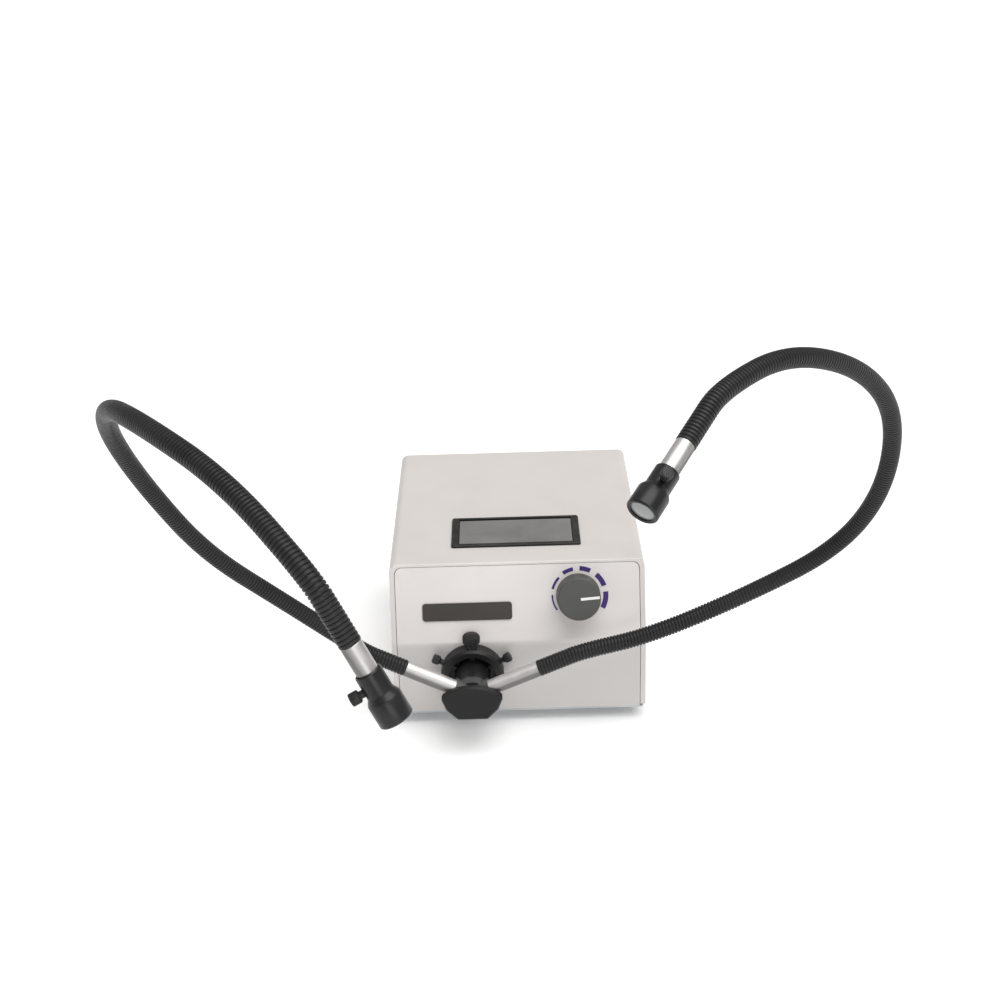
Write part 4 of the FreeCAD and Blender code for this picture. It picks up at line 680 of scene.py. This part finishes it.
NODE_FINISHES = (
    (HOUSING_PAINT, ("cover",)),
    (PANEL_PAINT, ("front_panel",)),
    (ZINC_STEEL, ("base_chassis", "rear_panel", "lamp_bracket")),
    (FOOT_RUBBER, ("feet",)),
    (PLATED_STEEL, ("cover_screws", "foot_screws", "fan_screws", "collar_nut",
                    "potentiometer_shaft", "guide_ferrule", "fuse_cap")),
    (POT_METAL, ("potentiometer",)),
    (BEZEL_BLACK, ("handle_bezel",)),
    (HANDLE_GREY, ("carry_handle",)),
    (KNOB_GREY, ("intensity_knob",)),
    (POINTER_WHITE, ("knob_pointer",)),
    (MARK_VIOLET, ("dial_marks",)),
    (PLATE_DARK, ("name_plate",)),
    (COLLAR_BLACK, ("nose_collar",)),
    (SCREW_BLACK, ("handle_pin", "nose_thumbscrew", "left_side_screw", "right_side_screw",
                   "left_barrel_screw", "right_barrel_screw")),
    (GUIDE_BLACK, ("guide_shaft",)),
    (BLOCK_BLACK, ("junction_block",)),
    (CAP_BLACK, ("junction_cap",)),
    (ALUMINIUM, ("left_junction_sleeve", "right_junction_sleeve", "left_end_sleeve", "right_end_sleeve")),
    (HOSE_BLACK, ("left_gooseneck", "right_gooseneck")),
    (FIBRE_GLASS, ("common_bundle", "left_bundle", "right_bundle")),
    (BARREL_BLACK, ("left_lens_barrel", "right_lens_barrel", "left_lens_ring", "right_lens_ring")),
    (LENS_GLASS, ("left_lens", "right_lens")),
    (FILTER_GLASS, ("heat_filter",)),
    (LAMP_MIRROR, ("reflector_lamp",)),
    (CERAMIC, ("lamp_socket",)),
    (CORE_IRON, ("transformer_core",)),
    (WINDING_COPPER, ("transformer_winding",)),
    (BOARD_GREEN, ("control_board",)),
    (BRASS, ("board_standoffs",)),
    (SINK_ALUMINIUM, ("heat_sink",)),
    (FAN_BLACK, ("fan_frame", "fan_rotor")),
    (GUARD_CHROME, ("fan_guard",)),
    (SWITCH_BLACK, ("power_inlet", "power_switch", "switch_rocker", "fuse_holder")),
)

for finish, nodes in NODE_FINISHES:
    for node in nodes:
        paint_node(node, finish)


# Ribbed goosenecks with their bundles

HOSE_RADIUS = 5.25 * MM
HOSE_VALLEY = 4.55 * MM
HOSE_BORE = 3.6 * MM
HOSE_PITCH = 2.1 * MM
BUNDLE_RADIUS = 2.95 * MM
SLEEVE_RISE = {1: math.radians(23), -1: math.radians(27)}
SLEEVE_LENGTH = 46.5 * MM
SLEEVE_APEX = Vector((-30.7, -126.5, 32.9)) * MM
STRAIGHT_START = 30 * MM
FIRST_STRAIGHT = 14 * MM
LAST_STRAIGHT = 12 * MM
ROUTE_ORDER = 3
ROUTE_STEPS = 40
HOSE_STEPS = 28
HOSE_END_REACH = 8 * MM
HOSE_SMOOTH_BELOW = math.radians(50)
BUNDLE_STEPS = 20
BUNDLE_PIECE = 4 * MM
BUNDLE_LEAD = 34 * MM
BUNDLE_TAIL = 25.2 * MM
FLAT_END = 0.9

# One rib: each radius, and the share of the pitch where it is reached
RIB_OUTLINE = ((HOSE_VALLEY, 0), (HOSE_VALLEY, 0.10), (HOSE_RADIUS * 0.975, 0.20), (HOSE_RADIUS, 0.38),
               (HOSE_RADIUS, 0.72), (HOSE_RADIUS * 0.975, 0.90), (HOSE_VALLEY, 1))

# Points in mm that the goosenecks pass near, from the junction to the lens
RIGHT_ROUTE = ((83, -125, 72), (144, -120, 97), (194, -132, 133), (213, -158, 183), (209, -187, 243),
               (180, -222, 285), (134, -261, 309), (96, -300, 306), (77, -326, 290))
LEFT_ROUTE = ((-144, -134, 109), (-183, -155, 154), (-206, -181, 209), (-213, -219, 259), (-199, -269, 295),
              (-170, -322, 307), (-126, -366, 297), (-88, -406, 271), (-72, -412, 241))


def arm_points(side):
    """The control points of an arm, with a straight stretch inside the sleeve at each end."""
    out = Vector((side * math.cos(SLEEVE_RISE[side]), 0, math.sin(SLEEVE_RISE[side])))
    start = SLEEVE_APEX + out * SLEEVE_LENGTH
    bends = [Vector(p) * MM for p in (RIGHT_ROUTE if side > 0 else LEFT_ROUTE)]
    end = bends[-1]
    back = (bends[-2] - end).normalized()
    first = [start, start + out * FIRST_STRAIGHT, start + out * STRAIGHT_START]
    last = [end + back * LAST_STRAIGHT, end]
    return first + bends[:-1] + last


def drawn_route(name, points):
    """A smooth curve with the given control points."""
    line = bpy.data.curves.new(name, "CURVE")
    line.dimensions = "3D"
    line.twist_mode = "MINIMUM"
    line.use_path = True
    spline = line.splines.new("NURBS")
    spline.points.add(len(points) - 1)
    for knot, place in zip(spline.points, points):
        knot.co = (*place, 1)
    spline.order_u = ROUTE_ORDER
    spline.use_endpoint_u = True
    spline.resolution_u = ROUTE_STEPS
    route = bpy.data.objects.new(name, line)
    bpy.context.scene.collection.objects.link(route)
    return route


def route_length(route):
    """The length of a drawn route."""
    drawn = bpy.data.meshes.new_from_object(route)
    places = [[drawn.vertices[k].co for k in edge.vertices] for edge in drawn.edges]
    length = sum((start - end).length for start, end in places)
    bpy.data.meshes.remove(drawn)
    return length


def run_along(piece, route, length, pitch):
    """Repeat a short piece drawn about +Z end to end, and bend the row along the route."""
    count = round(length / pitch)
    edit(piece)
    bpy.ops.mesh.select_all(action="SELECT")
    bpy.ops.transform.resize(value=(1, 1, length / count / pitch), center_override=(0, 0, 0))
    pick_up(piece)
    row = piece.modifiers.new("Row", "ARRAY")
    row.count = count
    row.use_relative_offset = False
    row.use_constant_offset = True
    row.constant_offset_displace = (0, 0, length / count)
    row.use_merge_vertices = True
    row.merge_threshold = SAME_PLACE
    bpy.ops.object.modifier_apply(modifier=row.name)
    bend = piece.modifiers.new("Bend", "CURVE")
    bend.object = route
    bend.deform_axis = "POS_Z"
    bpy.ops.object.modifier_apply(modifier=bend.name)


def open_ring(name, outline, steps):
    """A short open skin about +Z along an outline of (radius, height)."""
    put_down()
    radius, height = outline[0]
    bpy.ops.mesh.primitive_circle_add(vertices=steps, radius=radius, location=(0, 0, height))
    piece = bpy.context.object
    piece.name = name
    fix_in_mesh(piece)
    edit(piece, "EDGE")
    bpy.ops.mesh.select_all(action="SELECT")
    for next_radius, next_height in outline[1:]:
        bpy.ops.mesh.extrude_edges_move(TRANSFORM_OT_translate={"value": (0, 0, next_height - height)})
        share = next_radius / radius
        bpy.ops.transform.resize(value=(share, share, 1), center_override=(0, 0, next_height))
        radius, height = next_radius, next_height
    put_down()
    return piece


def close_end(piece, centre, reach):
    """Join the outer and the inner rim of a tube near one end."""
    edit(piece, "EDGE")
    bpy.ops.mesh.select_non_manifold()
    shape = bmesh.from_edit_mesh(piece.data)
    for edge in shape.edges:
        middle = (edge.verts[0].co + edge.verts[1].co) / 2
        if edge.select and (middle - centre).length > reach:
            edge.select_set(False)
    bmesh.update_edit_mesh(piece.data)
    bpy.ops.mesh.bridge_edge_loops()
    put_down()


def make_arm(name, side):
    """A ribbed sheath and the fibre bundle inside it, on one smooth line."""
    points = arm_points(side)
    route = drawn_route(name + " route", points)
    length = route_length(route)
    pitch = HOSE_PITCH
    rib = [(radius, pitch * share) for radius, share in RIB_OUTLINE]
    hose = open_ring(name + "_ribbed_hose", rib, HOSE_STEPS)
    bore = open_ring(name + "_hose_bore", ((HOSE_BORE, 0), (HOSE_BORE, pitch)), HOSE_STEPS)
    pick_up(hose)
    bore.select_set(True)
    bpy.ops.object.join()
    run_along(hose, route, length, pitch)
    close_end(hose, points[0], HOSE_END_REACH)
    close_end(hose, points[-1], HOSE_END_REACH)
    edit(hose)
    bpy.ops.mesh.select_all(action="SELECT")
    bpy.ops.mesh.normals_make_consistent(inside=False)
    pick_up(hose)
    bpy.ops.object.shade_smooth_by_angle(angle=HOSE_SMOOTH_BELOW)
    dress(hose, "light_guide", "hose_black", HOSE_BLACK, name + "_gooseneck")
    out = (points[1] - points[0]).normalized()
    ahead = (points[-1] - points[-2]).normalized()
    bundle_points = [points[0] - out * BUNDLE_LEAD] + points + [points[-1] + ahead * BUNDLE_TAIL]
    bundle_route = drawn_route(name + " bundle route", bundle_points)
    bundle = turned(name + "_fibre_bundle", ((BUNDLE_RADIUS, 0), (BUNDLE_RADIUS, BUNDLE_PIECE)),
                    BUNDLE_STEPS)
    edit(bundle, "FACE")
    choose_flat_ends(bundle)
    bpy.ops.mesh.delete(type="ONLY_FACE")
    run_along(bundle, bundle_route, route_length(bundle_route), BUNDLE_PIECE)
    edit(bundle, "EDGE")
    bpy.ops.mesh.select_non_manifold()
    bpy.ops.mesh.edge_face_add()
    pick_up(bundle)
    bpy.ops.object.shade_smooth_by_angle(angle=SMOOTH_BELOW)
    dress(bundle, "light_guide", "fibre_glass", FIBRE_GLASS, name + "_bundle")
    for drawn in (route, bundle_route):
        bpy.data.objects.remove(drawn)


def choose_flat_ends(piece):
    """In edit mode, select the faces that look along Z."""
    shape = bmesh.from_edit_mesh(piece.data)
    for face in shape.faces:
        face.select_set(abs(face.normal.z) > FLAT_END)
    bmesh.update_edit_mesh(piece.data)


make_arm("right", 1)
make_arm("left", -1)


# Lens heads

SLEEVE_VISIBLE = {1: 17.2 * MM, -1: 14 * MM}
BARREL_STEPS, SLEEVE_STEPS, LENS_STEPS, DOME_STEPS = 64, 48, 56, 8
BARREL_EDGE, SLEEVE_EDGE = 0.18 * MM, 0.1 * MM
LENS_RADIUS, LENS_RIM, LENS_RIM_DEPTH = 6.8 * MM, 23.6 * MM, 2.4 * MM
DOME_RADIUS = 22.0 * MM
LENS_SMOOTH_BELOW = math.radians(30)
BARREL_SCREW_PLACE = 7.5 * MM

# Radius and height in mm: mouth, small end, step, large end, lens pocket, throat
BARREL_OUTLINE = (
    (5.05, 0.8), (5.65, 0), (5.9, 0), (6.2, 0.5), (6.2, 10.3), (6.45, 11.2), (7.6, 13.2), (7.9, 14),
    (7.9, 24.3), (7.2, 25), (6.9, 25), (6.9, 16.5), (4.0, 16.5), (4.0, 14), (5.05, 14))
SLEEVE_OUTLINE = ((3.0, 0), (4.7, 0), (5.0, 0.3), (5.0, 25.2), (4.7, 25.5), (3.0, 25.5))

NECK_SHARE = 0.6
SLOT_RUN = 2.4
KNURL_SMOOTH_BELOW = math.radians(34)

# The crown of a knurled head, in shares of its rim: how far inward and how far below the top
CROWN = ((0.16, 0.5), (0.55, 0.14), (1.2, 0))


def in_metres(outline):
    """An outline given in mm, in the frame's own length."""
    return [(radius * MM, height * MM) for radius, height in outline]


def head_place(side):
    """Where a lens barrel starts, and which way it points."""
    points = arm_points(side)
    ahead = (points[-1] - points[-2]).normalized()
    return points[-1] + ahead * SLEEVE_VISIBLE[side], ahead


def knurled_screw(name, shank, start, seat, neck_height, head, height, teeth, rim=0.55 * MM):
    """A clamp screw about +Z: shank, neck, and a knurled head with rounded rims."""
    neck = head * NECK_SHARE
    low = seat + neck_height
    top = low + height
    crown = [(head - rim * inward, top - rim * down) for inward, down in CROWN]
    screw = turned(name, [(shank, start), (shank, seat), (neck, seat), (neck, low), (head - rim, low),
                          (head, low + rim), (head, (low + top) / 2), (head, top - rim)] + crown, 4 * teeth)
    flute(screw, low=low + rim * 0.5, high=top - rim * 0.2, inner=neck * 1.1, teeth=teeth, share=0.925)
    pick_up(screw)
    bpy.ops.object.shade_smooth_by_angle(angle=KNURL_SMOOTH_BELOW)
    return screw


def cut_slot(screw, top, width, depth, reach):
    """Cut a driver's slot across the top of a screw."""
    put_down()
    bpy.ops.mesh.primitive_cube_add(size=1, location=(0, 0, top))
    cutter = bpy.context.object
    cutter.scale = (SLOT_RUN * reach, width, 2 * depth)
    fix_in_mesh(cutter)
    pick_up(screw)
    cut = screw.modifiers.new("Slot", "BOOLEAN")
    cut.operation = "DIFFERENCE"
    cut.solver = "EXACT"
    cut.object = cutter
    bpy.ops.object.modifier_apply(modifier=cut.name)
    bpy.data.objects.remove(cutter)


def make_lens_head(name, side, hint, teeth):
    """Barrel, lens, end sleeve and clamp screw of one arm."""
    place, ahead = head_place(side)
    barrel = turned(name + "_focusing_barrel", in_metres(BARREL_OUTLINE), BARREL_STEPS, closed=True)
    stand(barrel, place, ahead, hint)
    soften(barrel, BARREL_EDGE)
    dress(barrel, name + "_head", "barrel_black", BARREL_BLACK, name + "_lens_barrel")
    centre = LENS_RIM - math.sqrt(DOME_RADIUS ** 2 - LENS_RADIUS ** 2)
    turns = [math.asin(LENS_RADIUS / DOME_RADIUS) * k / DOME_STEPS for k in range(DOME_STEPS, 0, -1)]
    dome = [(DOME_RADIUS * math.sin(turn), centre + DOME_RADIUS * math.cos(turn)) for turn in turns]
    lens = turned(name + "_domed_lens", [(LENS_RADIUS, LENS_RIM - LENS_RIM_DEPTH)] + dome, LENS_STEPS)
    stand(lens, place, ahead, hint)
    pick_up(lens)
    bpy.ops.object.shade_smooth_by_angle(angle=LENS_SMOOTH_BELOW)
    dress(lens, name + "_head", "lens_glass", LENS_GLASS, name + "_lens")
    sleeve = turned(name + "_turned_sleeve", in_metres(SLEEVE_OUTLINE), SLEEVE_STEPS, closed=True)
    stand(sleeve, place - ahead * SLEEVE_VISIBLE[side], ahead, hint)
    soften(sleeve, SLEEVE_EDGE)
    dress(sleeve, "light_guide", "bare_aluminium", ALUMINIUM, name + "_end_sleeve")
    screw = knurled_screw(
        name + "_knurled_screw", shank=1.25 * MM, start=5.25 * MM, seat=6.25 * MM, neck_height=1.8 * MM,
        head=3.0 * MM, height=4.6 * MM, teeth=teeth)
    cut_slot(screw, top=12.65 * MM, width=0.7 * MM, depth=0.7 * MM, reach=3.0 * MM)
    side_dir = (hint - ahead * hint.dot(ahead)).normalized()
    stand(screw, place + ahead * BARREL_SCREW_PLACE, side_dir, ahead)
    dress(screw, name + "_head_screw", "screw_black", SCREW_BLACK, name + "_barrel_screw")


make_lens_head("right", 1, hint=Vector((0.22, -0.629, 0.745)), teeth=18)
make_lens_head("left", -1, hint=Vector((-0.86, -0.22, -0.46)), teeth=24)


# Light port: its clamp screws

PORT_CENTRE = Vector((-30.7, -100.25, 31.2)) * MM
SIDE_SCREW_TURNS = (("right", math.radians(28.5)), ("left", math.radians(151.5)))


def make_port_screws():
    """The large clamp screw on top of the collar and the two small ones beside it."""
    start, seat, neck = 11.95 * MM, 20.65 * MM, 3.0 * MM
    top = knurled_screw("port_top_screw", 2.0 * MM, start, seat, neck,
                        head=5.65 * MM, height=6.5 * MM, teeth=30, rim=1.5 * MM)
    stand(top, PORT_CENTRE, Vector((0, 0, 1)), Vector((1, 0, 0)))
    dress(top, "nose_screw", "screw_black", SCREW_BLACK, "nose_thumbscrew")
    for name, turn in SIDE_SCREW_TURNS:
        small = knurled_screw(name + "_port_side_screw", 1.25 * MM, start, seat, neck,
                              head=3.1 * MM, height=5.0 * MM, teeth=20, rim=1.0 * MM)
        stand(small, PORT_CENTRE, Vector((math.cos(turn), 0, math.sin(turn))), Vector((0, 1, 0)))
        dress(small, name + "_collar_screw", "screw_black", SCREW_BLACK, name + "_side_screw")


make_port_screws()


# Stage

WHITE = (1, 1, 1, 1)
FLOOR_RADIUS = 9
FLOOR_STEPS = 96
FLOOR_GLOW = 0.12
SURROUNDINGS_LIGHT = 0.38
SURROUNDINGS_SEEN = 1.0
KEY_PLACE = (0.5, -0.5, 2.2)
KEY_STRENGTH = 2.75
KEY_SPREAD = math.radians(62)
FILL_PLACE = (0.3, -1.6, 0.45)
FILL_AIM = (0, -0.15, 0.02)
FILL_WIDTH, FILL_HEIGHT = 0.8, 0.4
FILL_POWER = 3.4


def make_floor():
    """A plain pale floor under the feet, which gives off a weak light of its own."""
    put_down()
    bpy.ops.mesh.primitive_circle_add(vertices=FLOOR_STEPS, radius=FLOOR_RADIUS, fill_type="NGON",
                                      location=(0, 0, cad_low.z))
    floor = bpy.context.object
    floor.name = "Studio floor"
    fix_in_mesh(floor)
    finish, tree, shader = new_finish(
        "Pale floor", roughness=0.75, metallic=0.0, Emission_Strength=FLOOR_GLOW)
    shader.inputs["Emission Color"].default_value = WHITE
    soft = effect(tree, HANDLING, -500, 100, Scale=1.5)
    base = mixed(tree, 0, 150, soft.outputs["Value"], colour(250, 250, 250), colour(249, 249, 249))
    tree.links.new(base, shader.inputs["Base Color"])
    floor.data.materials.append(finish)


def aim_light(lamp, name, place, aim):
    """Name a light and turn it from its place towards a point."""
    lamp.name = name
    lamp.rotation_mode = "QUATERNION"
    lamp.rotation_quaternion = (Vector(aim) - Vector(place)).to_track_quat("-Z", "Y")


def add_soft_light(name, place, aim, width, height, power):
    """A rectangular soft light at a place, turned towards a point."""
    bpy.ops.object.light_add(type="AREA", location=place)
    lamp = bpy.context.object
    lamp.data.shape = "RECTANGLE"
    lamp.data.size = width
    lamp.data.size_y = height
    lamp.data.energy = power
    aim_light(lamp, name, place, aim)


def light_studio():
    """Even surroundings, a broad far key light from the upper right and a weak near one.

    The camera sees the surroundings white, but they light the part less than that.
    """
    world = bpy.data.worlds.new("Studio")
    world.use_nodes = True
    tree = world.node_tree
    background = tree.nodes["Background"]
    background.inputs["Color"].default_value = WHITE
    ray = add(tree, "ShaderNodeLightPath", -600, 0)
    strength = add(tree, "ShaderNodeMapRange", -300, 0,
                   {"To Min": SURROUNDINGS_LIGHT, "To Max": SURROUNDINGS_SEEN})
    tree.links.new(ray.outputs["Is Camera Ray"], strength.inputs["Value"])
    tree.links.new(strength.outputs["Result"], background.inputs["Strength"])
    bpy.context.scene.world = world
    bpy.ops.object.light_add(type="SUN", location=KEY_PLACE)
    key = bpy.context.object
    key.data.energy = KEY_STRENGTH
    key.data.angle = KEY_SPREAD
    aim_light(key, "Key light", KEY_PLACE, (0, 0, 0))
    add_soft_light("Fill light", FILL_PLACE, FILL_AIM, FILL_WIDTH, FILL_HEIGHT, FILL_POWER)
    bpy.context.scene.view_settings.view_transform = "Standard"


make_floor()
light_studio()
